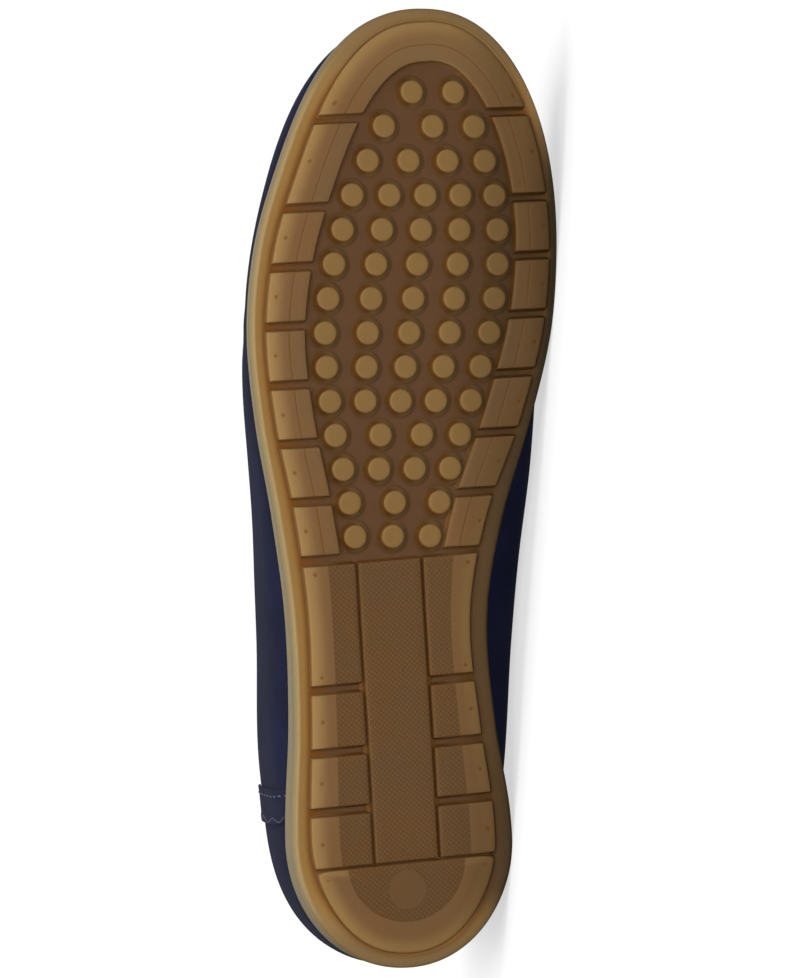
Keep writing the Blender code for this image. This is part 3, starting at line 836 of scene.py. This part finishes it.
def gumRubber():
    # one colour laid over another, each by its own zone
    gum = Finish("gumRubber", **gumBody)

    def zone(wire, name):
        start, full, strength = gumZones[name]
        return gum.step(wire, start, full) * strength

    def towards(colour, name, share):
        return gum.mix(colour, gumColours[name], share)

    place = gum.mark("place", "Vector")
    x, y, lift = (gum.part(place, axis) for axis in "XYZ")
    edge, outer, line, pin, hatch, still, stud, away, rim, valley = map(gum.mark, soleMarks)
    cloud, speck = (gum.noise(place, *gumGrain[name]) for name in ("cloud", "speck"))
    heelEnd, toeEnd = (gum.step(x, *run) for run in soleForm["endValley"])
    ends, outerSide, shares = heelEnd + toeEnd, zone(y, "outerSide"), gumShares
    innerShade = zone(y, "innerShade") * (1 - ends) * (1 - zone(x, "innerToe"))

    # tread: tops, floor between them, flanks and pinholes, with painted highlights and painted shade
    tread = towards(gumColours["tread"], "amber", zone(cloud, "cloud"))
    tread = towards(tread, "stud", stud)
    tread = towards(tread, "amber", zone(outer, "amber"))
    # paler towards the tread's outer edge all round, and much paler there on the outer side, where it is a
    # painted highlight
    tread = towards(tread, "pale", zone(outer, "pale") * (shares["pale"] + outerSide * shares["paleOuterHighlight"]))
    # painted highlight: a faint lightening along the block edges and at the toe end
    tread = towards(tread, "edge", zone(edge, "edge") + toeEnd * shares["toeHighlight"])
    # painted shade: the floors between the blocks are coloured darker
    floor = towards(tread, "floor", zone(lift, "floor"))
    # painted shade: the sides and roots of the blocks and a ring round each stud, mainly on its outer side,
    # are coloured dark amber; the lugs on the outer side keep lighter sides
    studShade = zone(edge, "studShade") * stud * (1 - zone(away, "away"))
    flank = zone(edge, "flank") * (studShade + zone(lift, "root") * (1 - stud))
    plain = 1 - (1 - zone(abs(line), "lug")) * (1 - zone(outer, "outerHalf"))
    side = towards(gumColours["flank"], "lugFlank", plain * outerSide)
    colour = gum.mix(floor, towards(side, "studFlank", stud), flank * shares["flank"])
    colour = towards(colour, "pin", zone(pin, "pin"))
    # painted shade: the tread is coloured darker towards the inner side, at the heel end and on the floors
    # between the inner blocks
    dusk = zone(y, "dusk") + zone(y, "night") + zone(x, "heelDusk")
    dusk = dusk + zone(y, "innerDusk") * (1 - zone(x, "innerDuskEnd"))
    dusk = dusk + zone(lift, "floor") * zone(y, "floorDusk")
    colour = towards(colour, "shade", dusk)

    # rim: bead, valley and wall; the pale bead colours are a painted highlight, less pale at the heel and toe
    # ends
    bead = towards(gumColours["beadAmber"], "bead", zone(valley, "bead"))
    bead = towards(bead, "beadEnd", ends)
    # painted shade: on the inner side the bead and valley are coloured darker, more so far towards the inner
    # edge and on the bead's outer part
    bead = towards(bead, "beadInner", innerShade)
    dusk = zone(y, "beadDusk") + zone(y, "beadNight") + zone(valley, "beadCrest")
    bead = towards(bead, "shade", innerShade * dusk)
    # painted shade: the valley beside the tread is coloured dark, less so at the heel and toe ends
    hollow = towards(gumColours["valley"], "valleyInner", innerShade)
    deep = 1 - toeEnd * shares["toeHollow"] - heelEnd * shares["heelHollow"]
    bead = gum.mix(bead, hollow, zone(valley, "hollow") * deep)
    bead = towards(bead, "wall", zone(lift, "wall"))
    colour = gum.mix(colour, bead, rim)

    # fine diamonds: two sets of lines crossing at right angles
    wave = 2 * math.pi / hatchForm["pitch"]
    ahead, aside = wave * math.cos(hatchForm["turn"]), wave * math.sin(hatchForm["turn"])
    ways = x * ahead + y * aside, y * ahead - x * aside
    ridges = [gum.node("Math", {"operation": "SINE"}, {0: way}) for way in ways]
    diamond = gum.node("Math", {"operation": "MAXIMUM"}, {0: ridges[0], 1: ridges[1]})
    inHatch = zone(hatch, "hatch") * zone(edge, "hatchEdge")
    cut = zone(diamond, "diamond") * inHatch * (1 - still)
    hatchLine = zone(abs(hatch), "hatchLine") * zone(edge, "hatchLineEdge")
    colour = towards(colour, "groove", cut * shares["cut"] + inHatch * shares["hatch"] + hatchLine)
    colour = towards(colour, "flank", zone(abs(line), "line") * zone(edge, "lineEdge"))
    colour = towards(colour, "floor", zone(speck, "speck"))
    rough = gumGrain["rough"] + speck * gumGrain["roughSpeck"] + inHatch * gumGrain["roughHatch"]
    height = speck * gumGrain["speckHeight"] - cut * gumGrain["cutDepth"]
    gum.surface(Base_Color=colour, Roughness=rough, Normal=gum.bump(height, *gumGrain["bump"]))
    return gum


def makeSole():
    skin = Skin(place=(0.0, 0.0, 0.0), **soleMarks)
    addSoleBody(skin)
    addTread(skin)
    addHeelBlock(skin)
    addStuds(skin)
    dressed("outsoleSkin", skin.make("outsoleSkin", bent), gumRubber(), "gum_rubber", "outsole")


# Upper

upperForm = {
    "wall": 1.8,
    "clear": 0.3,
    "featherInset": 2.6,
    "heelRound": (38.0, 2.1),
    "toeRound": (78.0, 2.25),
    "widest": table(
        "x lateral medial heightLateral heightMedial",
        (-1.5, 27.0, 31.6, 29, 29),
        (35, 27.7, 32.6, 29, 27),
        (52, 29.7, 34.4, 28.5, 25.5),
        (85, 30.9, 36.6, 28, 25),
        (110, 33.0, 38.7, 26, 24),
        (135, 35.7, 40.9, 23, 22),
        (160, 38.2, 41.8, 20, 20),
        (185, 37.5, 41.8, 19, 20),
        (210, 35.4, 43.4, 18.5, 19.5),
        (254, 33.7, 48.6, 17, 17),
    ),
    "ridge": table(
        "x y z",
        (27, 1.0, 90),
        (80, 0.5, 87),
        (105, 1.0, 80),
        (130, 2.0, 69),
        (150, 3.0, 60.5),
        (170, 4.0, 52.3),
        (188, 5.2, 45.8),
        (206, 6.2, 40.6),
        (219, 7.0, 38.3),
        (228, 7.6, 37.9),
    ),
    "collar": table(
        "x z",
        (0, 67.5),
        (20, 65.0),
        (45, 59.2),
        (70, 55.8),
        (95, 54.8),
        (115, 55.6),
        (132, 57.6),
        (142, 59.0),
        (150, 60.5),
    ),
    "throat": 150.0,
    "sectionPower": 2.2,
    "springShare": 0.8,
    "lowerPower": 1.25,
    "outerWall": 1.1,
    "liningGap": 0.05,
    "liningDrop": 0.012,  # how far the lining's edge stays under the collar, as a height on the last
    "soft": 0.3,
    "liningSoft": 0.2,
    "collarSearch": (1.05, 2.0, 1200),
    "lowestCollar": 1.06,
    "steps": {"quarter": 64, "throat": 26, "vamp": 70, "low": 15, "high": 29},
    "closing": (0.9, 1.6),  # share of the throat's station where the steps begin to shorten, and how fast
    "normalLimits": ((0.006, 0.994), (0.01, 1.99)),  # stations and heights with a sure normal
    "creaseLimits": (0.02, 0.98, 1.98),
}
creases = table(  # soft troughs, listed one by one: where, how far they reach, how deep; side as -1 or 1
    "side x height reachX reachHeight turn depth",
    (-1, 118, 1.05, 16, 0.3, 0.0, 0.35),
    (-1, 86, 0.85, 12, 0.25, 0.0, 0.22),
    (-1, 170, 1.45, 3.2, 0.42, 0.14, 0.3),
    (-1, 179, 1.5, 3.0, 0.36, 0.1, 0.26),
    (1, 168, 1.45, 3.2, 0.42, 0.14, 0.3),
    (1, 178, 1.5, 3.0, 0.36, 0.1, 0.26),
    (1, 108, 1.1, 15, 0.3, 0.0, 0.3),
)
creaseForm = {"slant": 30.0, "bank": 0.45, "bankWay": 1.9}  # each trough has a low bank at its toe side


def stationAt(x, back, front):
    # length station at which a line from back to front has reached x
    return math.acos(1 - 2 * (x - back) / (front - back)) / math.pi


lastEnds = upperForm["widest"]["x"][[0, -1]]
ridgeEnds = upperForm["ridge"]["x"][[0, -1]]
throatStation = stationAt(upperForm["throat"], *ridgeEnds)


def lastPoint(station, side, height):
    # station 0 heel to 1 toe, height 0 feather, 1 widest line, 2 ridge
    swing = (1 - np.cos(np.pi * station)) / 2
    around = station if side == lateral else 2 - station
    feather = insetEdge(around, upperForm["featherInset"] + 0 * around)
    featherZ = wallTop(feather[..., 0]) + upperForm["clear"]
    wideX = lastEnds[0] + (lastEnds[1] - lastEnds[0]) * swing
    ends = rounded(wideX - lastEnds[0], *upperForm["heelRound"])
    ends = ends * rounded(lastEnds[1] - wideX, *upperForm["toeRound"])
    name = "lateral" if side == lateral else "medial"
    middle = along(soleForm["plan"], "centre", wideX)
    wideY = middle + side * (along(upperForm["widest"], name, wideX) - side * middle) * ends
    wideZ = along(upperForm["widest"], "height" + name.title(), wideX)
    wideZ = wideZ + bottomLine(wideX) * upperForm["springShare"]
    ridgeX = ridgeEnds[0] + (ridgeEnds[1] - ridgeEnds[0]) * swing
    ridgeY, ridgeZ = along(upperForm["ridge"], "y", ridgeX), along(upperForm["ridge"], "z", ridgeX)
    power = 2 / upperForm["sectionPower"]
    low = np.clip(height, 0, 1)
    high = np.clip(height - 1, 0, 1) * np.pi / 2
    out, over = 1 - (1 - low) ** 2, 1 - np.clip(np.cos(high), 0, 1) ** power
    x = feather[..., 0] + (wideX - feather[..., 0]) * out + (ridgeX - wideX) * over
    y = feather[..., 1] + (wideY - feather[..., 1]) * out + (ridgeY - wideY) * over
    rise, peak = low ** upperForm["lowerPower"], np.sin(high) ** power
    z = featherZ + (wideZ - featherZ) * rise + (ridgeZ - wideZ) * peak
    return np.stack([x, y, z], axis=-1)


def lastNormal(station, side, height):
    # square to the last, from small steps along both of its ways
    step = 0.004
    ahead = lastPoint(station + step, side, height) - lastPoint(station - step, side, height)
    above = lastPoint(station, side, height + step) - lastPoint(station, side, height - step)
    outward = np.cross(ahead, above) * -side
    return outward / np.linalg.norm(outward, axis=-1, keepdims=True)


def collarHeight(station, side):
    # how far up each section the collar cuts it, 2 once the throat is passed
    heights = np.linspace(*upperForm["collarSearch"])[None, :] + 0 * station[:, None]
    section = lastPoint(station[:, None] + 0 * heights, side, heights)
    over = section[..., 2] > along(upperForm["collar"], "z", section[..., 0])
    cut = np.where(over.any(axis=1), heights[0][np.argmax(over, axis=1)], 2.0)
    return np.where(station >= throatStation - 1e-5, 2.0, cut)


def creased(side, station, height):
    # sum of soft bell-shaped troughs
    x = lastPoint(station, side, height)[..., 0]
    depth = 0 * x
    for k in np.nonzero(creases["side"] == side)[0]:
        up = (height - creases["height"][k]) / creases["reachHeight"][k]
        slant = creaseForm["slant"] * creases["turn"][k] * up
        run = (x - creases["x"][k] - slant) / creases["reachX"][k]
        fold = bell(run) - creaseForm["bank"] * bell(run - creaseForm["bankWay"])
        depth = depth + creases["depth"][k] * fold * bell(up)
    return depth


def upperGrid(side, drop):
    # stations close up towards the throat; rows run from the feather to the collar or the ridge
    steps, (share, power) = upperForm["steps"], upperForm["closing"]
    quarter = share * throatStation
    near = throatStation - (throatStation - quarter) * np.linspace(1, 0, steps["throat"])[1:] ** power
    back, vamp = np.linspace(0, quarter, steps["quarter"]), np.linspace(throatStation, 1, steps["vamp"])
    stations = np.concatenate([back, near, vamp[1:]])
    top = collarHeight(stations, side)
    top = np.where(top < 2.0, np.maximum(top - drop, upperForm["lowestCollar"]), top)
    low = np.linspace(0, 1, steps["low"])[None, :-1] + 0 * top[:, None]
    high = 1 + (top[:, None] - 1) * np.linspace(0, 1, steps["high"])
    heights = np.concatenate([low, high], axis=1)
    return stations[:, None] + 0 * heights, heights


def upperSheet(name, inwards=0.0, drop=0.0):
    # both sides of the last in one welded sheet, moved in from the outside
    skin = Skin()
    stationLimits, heightLimits = upperForm["normalLimits"]
    back, front, top = upperForm["creaseLimits"]
    for side in (lateral, medial):
        station, height = upperGrid(side, drop)
        outward = lastNormal(np.clip(station, *stationLimits), side, np.clip(height, *heightLimits))
        inside = (station > back) & (station < front) & (height < top)
        depth = creased(side, station, height) * inside
        skin.addSheet(lastPoint(station, side, height) - outward * depth[..., None], side == lateral)
    mesh = skin.make(name)
    if inwards:
        normals, spots = np.empty(len(mesh.vertices) * 3), np.empty(len(mesh.vertices) * 3)
        mesh.vertex_normals.foreach_get("vector", normals)
        mesh.vertices.foreach_get("co", spots)
        mesh.vertices.foreach_set("co", spots - normals * inwards * mm)
        mesh.update()
    return mesh


def walled(piece, thickness, offset, soft):
    # a wall of even thickness with softened edges
    shell = piece.modifiers.new("wall", "SOLIDIFY")
    shell.thickness, shell.offset = thickness * mm, offset
    shell.use_even_offset = True
    softEdge = piece.modifiers.new("softEdge", "BEVEL")
    softEdge.width, softEdge.segments = soft * mm, 3
    softEdge.limit_method, softEdge.angle_limit = "ANGLE", math.radians(50)


nubuckColours = palette(
    navy=(19, 22, 44),
    deep=(14, 17, 36),
    rubbed=(26, 30, 54),
    thread=(56, 64, 88),
    darkThread=(28, 32, 53),
)
nubuckForm = {
    "cloud": (60.0, 4.0),  # scale and detail of each noise
    "nap": (900.0, 2.0),
    "pebble": 1500.0,
    "clouded": (0.3, 0.7),
    "rubbed": (0.5, 0.75),
    "rubbedShare": 0.3,
    "rough": 0.78,
    "roughNap": 0.15,
    "napHeight": 0.6,
    "pebbleDepth": 0.5,
    "bump": (0.12, 0.6),
}
liningColours = palette(dark=(176, 150, 118), light=(196, 172, 140))
liningForm = {
    "cloud": (45.0, 3.0),
    "grain": (1400.0, 2.0),
    "clouded": (0.35, 0.65),
    "rough": 0.6,
    "roughGrain": 0.15,
    "bump": (0.1, 0.5),
}


def nubuck(name, lighter=0.0):
    # short nap: cloudy strokes over a fine pebble grain
    leather = Finish(name, Sheen_Weight=0.02, Sheen_Roughness=0.4, Specular_IOR_Level=0.08)
    spot, form = leather.place(), nubuckForm
    cloud, nap = (leather.noise(spot, *form[name]) for name in ("cloud", "nap"))
    pebble = {"Vector": spot, "Scale": form["pebble"]}
    grain = leather.node("TexVoronoi", {"feature": "SMOOTH_F1"}, pebble, "Distance")
    colour = leather.mix(nubuckColours["deep"], nubuckColours["navy"], leather.step(cloud, *form["clouded"]))
    rubbed = leather.step(nap, *form["rubbed"]) * form["rubbedShare"] + lighter
    colour = leather.mix(colour, nubuckColours["rubbed"], rubbed)
    height = nap * form["napHeight"] - grain * form["pebbleDepth"]
    rough = form["rough"] + nap * form["roughNap"]
    leather.surface(Base_Color=colour, Roughness=rough, Normal=leather.bump(height, *form["bump"]))
    return leather


def liningLeather():
    # pale cloudy leather with a fine grain
    lining = Finish("liningLeather", Specular_IOR_Level=0.35)
    spot, form = lining.place(), liningForm
    cloud, grain = (lining.noise(spot, *form[name]) for name in ("cloud", "grain"))
    clouded = lining.step(cloud, *form["clouded"])
    colour = lining.mix(liningColours["dark"], liningColours["light"], clouded)
    rough = form["rough"] + grain * form["roughGrain"]
    lining.surface(Base_Color=colour, Roughness=rough, Normal=lining.bump(grain, *form["bump"]))
    return lining


def makeUpper():
    outer, gap = upperForm["outerWall"], upperForm["liningGap"]
    mesh = upperSheet("upperSkin")
    piece = dressed("upperSkin", mesh, nubuck("navyNubuck"), "navy_leather", "upper")
    walled(piece, outer, -1, upperForm["soft"])
    mesh = upperSheet("liningSkin", outer + gap, upperForm["liningDrop"])
    piece = dressed("liningSkin", mesh, liningLeather(), "insole_leather")
    walled(piece, upperForm["wall"] - outer - gap, -1, upperForm["liningSoft"])


# Insole

insoleForm = {
    "inset": 4.9,
    "thick": 3.0,
    "edge": 0.7,
    "edgeSteps": 5,
    "aroundSteps": 90,
    "acrossSteps": 21,
}


def makeInsole():
    # rings up the edge and round its shoulder
    around = np.linspace(0, 2, 2 * insoleForm["aroundSteps"], endpoint=False)
    turn = np.linspace(0, np.pi / 2, insoleForm["edgeSteps"])[:, None]
    edge, thick = insoleForm["edge"], insoleForm["thick"]
    insets = np.concatenate([[[0.0]], edge * (1 - np.cos(turn))]) + insoleForm["inset"] + 0 * around
    lifts = np.concatenate([[[0.0]], thick - edge * (1 - np.sin(turn))]) + 0 * around
    plan = insetEdge(np.broadcast_to(around, insets.shape), insets)
    z = wallTop(plan[..., 0]) + upperForm["clear"] + lifts
    rings = np.concatenate([plan, z[..., None]], axis=-1)
    skin = Skin()
    skin.add(*closedBody(rings, insoleForm["acrossSteps"]))
    dressed("insoleSkin", skin.make("insoleSkin"), liningLeather(), "insole_leather", "insole")


# Strap over the outer quarter, with its two rows of thread

strapForm = {
    "from": 38.5,
    "to": 46.8,
    "thick": 0.72,
    "clear": 0.06,
    "foot": 0.08,
    "topShare": 0.97,
    "lip": 0.05,
    "lipReach": 1.4,
    "soft": 0.28,
    "lighter": 0.08,
    "topRun": (6.0, 2.0, 15),  # upright lines, from behind to ahead, on which the collar is looked for
    "proud": 0.02,  # how far the middle of a stitch lies over the face
    "steps": (25, 61),
    "lean": (-3.0, -1.2),  # how far the top of its rear and front edges lies further back than the foot
    "frontRow": {"behind": 1.6, "pitch": 4.2, "length": 2.1, "radius": 0.2},
    "rearRow": {"pitch": 1.2, "wave": 15.0, "reach": (0.2, 1.8), "radius": 0.18},
}
stitchForm = {
    "along": np.array([-1.0, -0.92, -0.6, 0.0, 0.6, 0.92, 1.0]),
    "girth": np.array([0.05, 0.62, 0.92, 1.0, 0.92, 0.62, 0.05]),
    "sides": 8,
    "dip": 0.5,  # how far the ends go down into the leather, in thread radii
    "twist": (3000.0, 1.0),
    "lit": (0.4, 0.7),
    "litShare": 0.6,
    "bump": (0.08, 0.5),
}


def stationOver(x, side, height):
    # length station at which the last reaches x at each height, closing in by straight steps
    station, step = 0.25 + 0 * (x + height), 0.004
    for _ in range(10):
        here, ahead = (lastPoint(station + more, side, height)[..., 0] for more in (0, step))
        station = station + (x - here) / (ahead - here) * step
    return station


def strapTops():
    # height at which the collar cuts the last, over a run of upright lines
    behind, ahead, steps = strapForm["topRun"]
    lines = np.linspace(strapForm["from"] - behind, strapForm["to"] + ahead, steps)
    x, climb = np.meshgrid(lines, np.linspace(1, 2, 400), indexing="ij")
    rise = lastPoint(stationOver(x, lateral, climb), lateral, climb)[..., 2]
    return lines, climb[0][np.argmax(rise > along(upperForm["collar"], "z", x), axis=1)]


strapCuts = strapTops()


def strapSpot(x, share, lift):
    # a point over the strap's patch of the last; share 0 at its foot, 1 at its top, x as it is at the foot
    rear, front = strapForm["lean"]
    x = x + share * (rear + (front - rear) * (x - strapForm["from"]) / (strapForm["to"] - strapForm["from"]))
    top = 1 + (np.interp(x, *strapCuts) - 1) * strapForm["topShare"]
    height = strapForm["foot"] + (top - strapForm["foot"]) * share
    station = stationOver(x, lateral, height)
    outward = lastNormal(station, lateral, height)
    return lastPoint(station, lateral, height) + outward * np.asarray(lift)[..., None], outward


def strapLip(behind):
    # the front edge stands up a little
    return strapForm["lip"] * bell(behind / strapForm["lipReach"])


def strapLine(x, lift, pitch):
    # points an even way apart up the strap
    share = np.linspace(0, 1, 400)
    spots, _ = strapSpot(x + 0 * share, share, lift + 0 * share)
    run = np.concatenate([[0], np.cumsum(np.linalg.norm(np.diff(spots, axis=0), axis=1))])
    return np.interp(np.arange(pitch / 2, run[-1], pitch), run, share)


def sewingThread(name, colour):
    # twisted thread, lighter along its strands
    thread = Finish(name, Roughness=0.7, Sheen_Weight=0.1)
    twist = thread.noise(thread.place(), *stitchForm["twist"])
    lit = thread.step(twist, *stitchForm["lit"]) * stitchForm["litShare"]
    mixed = thread.mix(colour, nubuckColours["rubbed"], lit)
    thread.surface(Base_Color=mixed, Normal=thread.bump(twist, *stitchForm["bump"]))
    return thread


def threadStitches(name, starts, ends, outward, radius, finish):
    # every stitch one small round bar with domed ends, from its start to its end
    s, girth, sides = stitchForm["along"], radius * stitchForm["girth"], stitchForm["sides"]
    turn = fullTurn(sides)[:, None]
    middle, half = (starts + ends) / 2, (ends - starts) / 2
    sideways = np.cross(half, outward)
    sideways /= np.linalg.norm(sideways, axis=1, keepdims=True)
    middle, half, outward, sideways = (way[:, None, None] for way in (middle, half, outward, sideways))
    s, girth = s[:, None, None], girth[:, None, None]
    ring = np.cos(turn) * outward + np.sin(turn) * sideways
    dip = stitchForm["dip"] * radius * np.abs(s) ** 3
    quads = gridQuads(len(s), sides, True)
    caps = [np.arange(sides)[::-1], np.arange(sides) + (len(s) - 1) * sides]
    skin = Skin()
    for bar in middle + half * s + ring * girth - outward * dip:
        skin.add(bar, quads, caps)
    dressed(name, skin.make(name), finish, "strap_leather")


def makeStrap():
    # a patch of the last lifted off it and given its thickness, then two rows of stitches
    back, width = strapForm["from"], strapForm["to"] - strapForm["from"]
    x, share = np.meshgrid(*(np.linspace(0, 1, steps) for steps in strapForm["steps"]), indexing="ij")
    points, _ = strapSpot(back + width * x, share, strapForm["clear"] + strapLip((1 - x) * width))
    skin = Skin()
    skin.addSheet(points, True)
    mesh = skin.make("strapSkin")
    leather = nubuck("strapNubuck", strapForm["lighter"])
    strap = dressed("strapSkin", mesh, leather, "strap_leather", "strap_lateral")
    walled(strap, strapForm["thick"], 1, strapForm["soft"])
    face, proud = strapForm["clear"] + strapForm["thick"], strapForm["proud"]

    # front row: straight stitches one behind the other
    row, thread = strapForm["frontRow"], sewingThread("paleThread", nubuckColours["thread"])
    x = strapForm["to"] - row["behind"]
    share = strapLine(x, face, row["pitch"])
    lift = face + strapLip(row["behind"]) + proud
    spots, outward = strapSpot(x + 0 * share, share, lift + 0 * share)
    way = np.gradient(spots, axis=0)
    way *= row["length"] / 2 / np.linalg.norm(way, axis=1, keepdims=True)
    threadStitches("strapFrontStitches", spots - way, spots + way, outward, row["radius"], thread)

    # rear row: a thread that swings to and fro
    row, thread = strapForm["rearRow"], sewingThread("darkThread", nubuckColours["darkThread"])
    share = strapLine(back, face, row["pitch"])
    first, last = row["reach"]
    swing = np.abs(2 * np.mod(np.arange(len(share)) * row["pitch"] / row["wave"], 1) - 1)
    spots, outward = strapSpot(back + first + (last - first) * swing, share, face + proud + 0 * share)
    threadStitches("strapRearStitches", spots[:-1], spots[1:], outward[:-1], row["radius"], thread)


# Floor, lights and camera

photoFrame = {
    "width": 800,
    "height": 978,
    "soleHeelRow": 967,  # picture row of the heel end and column of the shoe's middle line
    "middleColumn": 403,
    "scale": 0.2659,  # millimetres to one pixel on the tread
    "tilt": math.radians(14),
    "distance": 1300.0,
}
studio = {
    "floor": 40.0,
    "floorColour": (0.36, 0.36, 0.36, 1),
    "floorGlow": 0.6,  # a lit table keeps the shoe's own shadow soft
    "top": {"from": (0.0, -0.06, 0.99), "strength": 2.3, "angle": 60},
    "panels": {
        "front": {"at": (0.05, -0.58, 0.33), "aim": (0.0, 0.0, 0.05), "size": (0.6, 0.16), "power": 2.2},
        "eye": {"at": (0.05, -1.48, 0.11), "aim": (0.0, 0.0, 0.05), "size": (0.5, 0.16), "power": 16.0},
    },
    "skyColour": (0.95, 0.97, 1.0, 1),
    "sky": {"From Min": -0.1, "From Max": 0.1, "To Min": 0.07, "To Max": 0.42},  # brighter above the horizon
}


def turnedTo(back, up):
    # a turn whose z axis points back and whose y axis is nearest to up
    back = Vector(back).normalized()
    up = Vector(up)
    up = (up - back * up.dot(back)).normalized()
    return Matrix((up.cross(back), up, back)).transposed().to_4x4()


def makeCamera():
    # looks up at the tread, tilted, with the heel end and the middle line where the picture has them
    size, tilt = photoFrame["scale"], photoFrame["tilt"]
    centre = np.array([
        (photoFrame["soleHeelRow"] - photoFrame["height"] / 2) * size,
        (photoFrame["width"] / 2 - photoFrame["middleColumn"]) * size / math.cos(tilt),
        0.0,
    ])
    toCamera = np.array([0.0, -math.sin(tilt), -math.cos(tilt)])
    camera = bpy.data.cameras.new("camera")
    camera.sensor_width = 36.0
    camera.lens = camera.sensor_width * photoFrame["distance"] / (photoFrame["height"] * size)
    camera.clip_end = 100.0
    holder = linked("camera", camera)
    place = turnedTo(toCamera @ shoeTurn, shoeTurn[0])
    place.translation = toWorld(centre + toCamera * photoFrame["distance"])
    holder.matrix_world = place
    bpy.context.scene.camera = holder


def makeStudio():
    # pale floor, one broad sun, two soft panels and a sky that is brighter above
    half = studio["floor"] / 2
    mesh = bpy.data.meshes.new("floor")
    corners = [(-half, -half, 0), (half, -half, 0), (half, half, 0), (-half, half, 0)]
    mesh.from_pydata(corners, [], [(0, 1, 2, 3)])
    floor = linked("floor", mesh)
    paper = Finish("paleFloor", Base_Color=studio["floorColour"], Roughness=0.9, Specular_IOR_Level=0.0)
    paper.surface(Emission_Color=(1, 1, 1, 1), Emission_Strength=studio["floorGlow"])
    mesh.materials.append(paper.material)
    floor.visible_diffuse = floor.visible_glossy = False  # no light thrown back on to the shoe's inner side
    top = studio["top"]
    sun = bpy.data.lights.new("top", "SUN")
    sun.energy, sun.angle = top["strength"], math.radians(top["angle"])
    linked("top", sun).matrix_world = turnedTo(top["from"], (1, 0, 0))
    for name, panel in studio["panels"].items():
        box = bpy.data.lights.new(name, "AREA")
        box.shape, box.energy = "RECTANGLE", panel["power"]
        box.size, box.size_y = panel["size"]
        lamp = linked(name, box)
        lamp.visible_camera = False
        place = turnedTo(Vector(panel["at"]) - Vector(panel["aim"]), (0, 0, 1))
        place.translation = panel["at"]
        lamp.matrix_world = place
    world = bpy.data.worlds.new("studioSky")
    bpy.context.scene.world = world
    world.use_nodes = True
    tree = world.node_tree
    sky = tree.nodes["Background"].inputs
    sky["Color"].default_value = studio["skyColour"]
    kinds = "TexCoord", "SeparateXYZ", "MapRange"
    way, parts, level = (tree.nodes.new("ShaderNode" + kind) for kind in kinds)
    for name, value in studio["sky"].items():
        level.inputs[name].default_value = value
    tree.links.new(way.outputs["Generated"], parts.inputs[0])
    tree.links.new(parts.outputs["Z"], level.inputs["Value"])
    tree.links.new(level.outputs[0], sky["Strength"])
    bpy.context.scene.view_settings.view_transform = "Standard"


makeCamera()
makeStudio()
makeSole()
makeUpper()
makeInsole()
makeStrap()

print("finished")
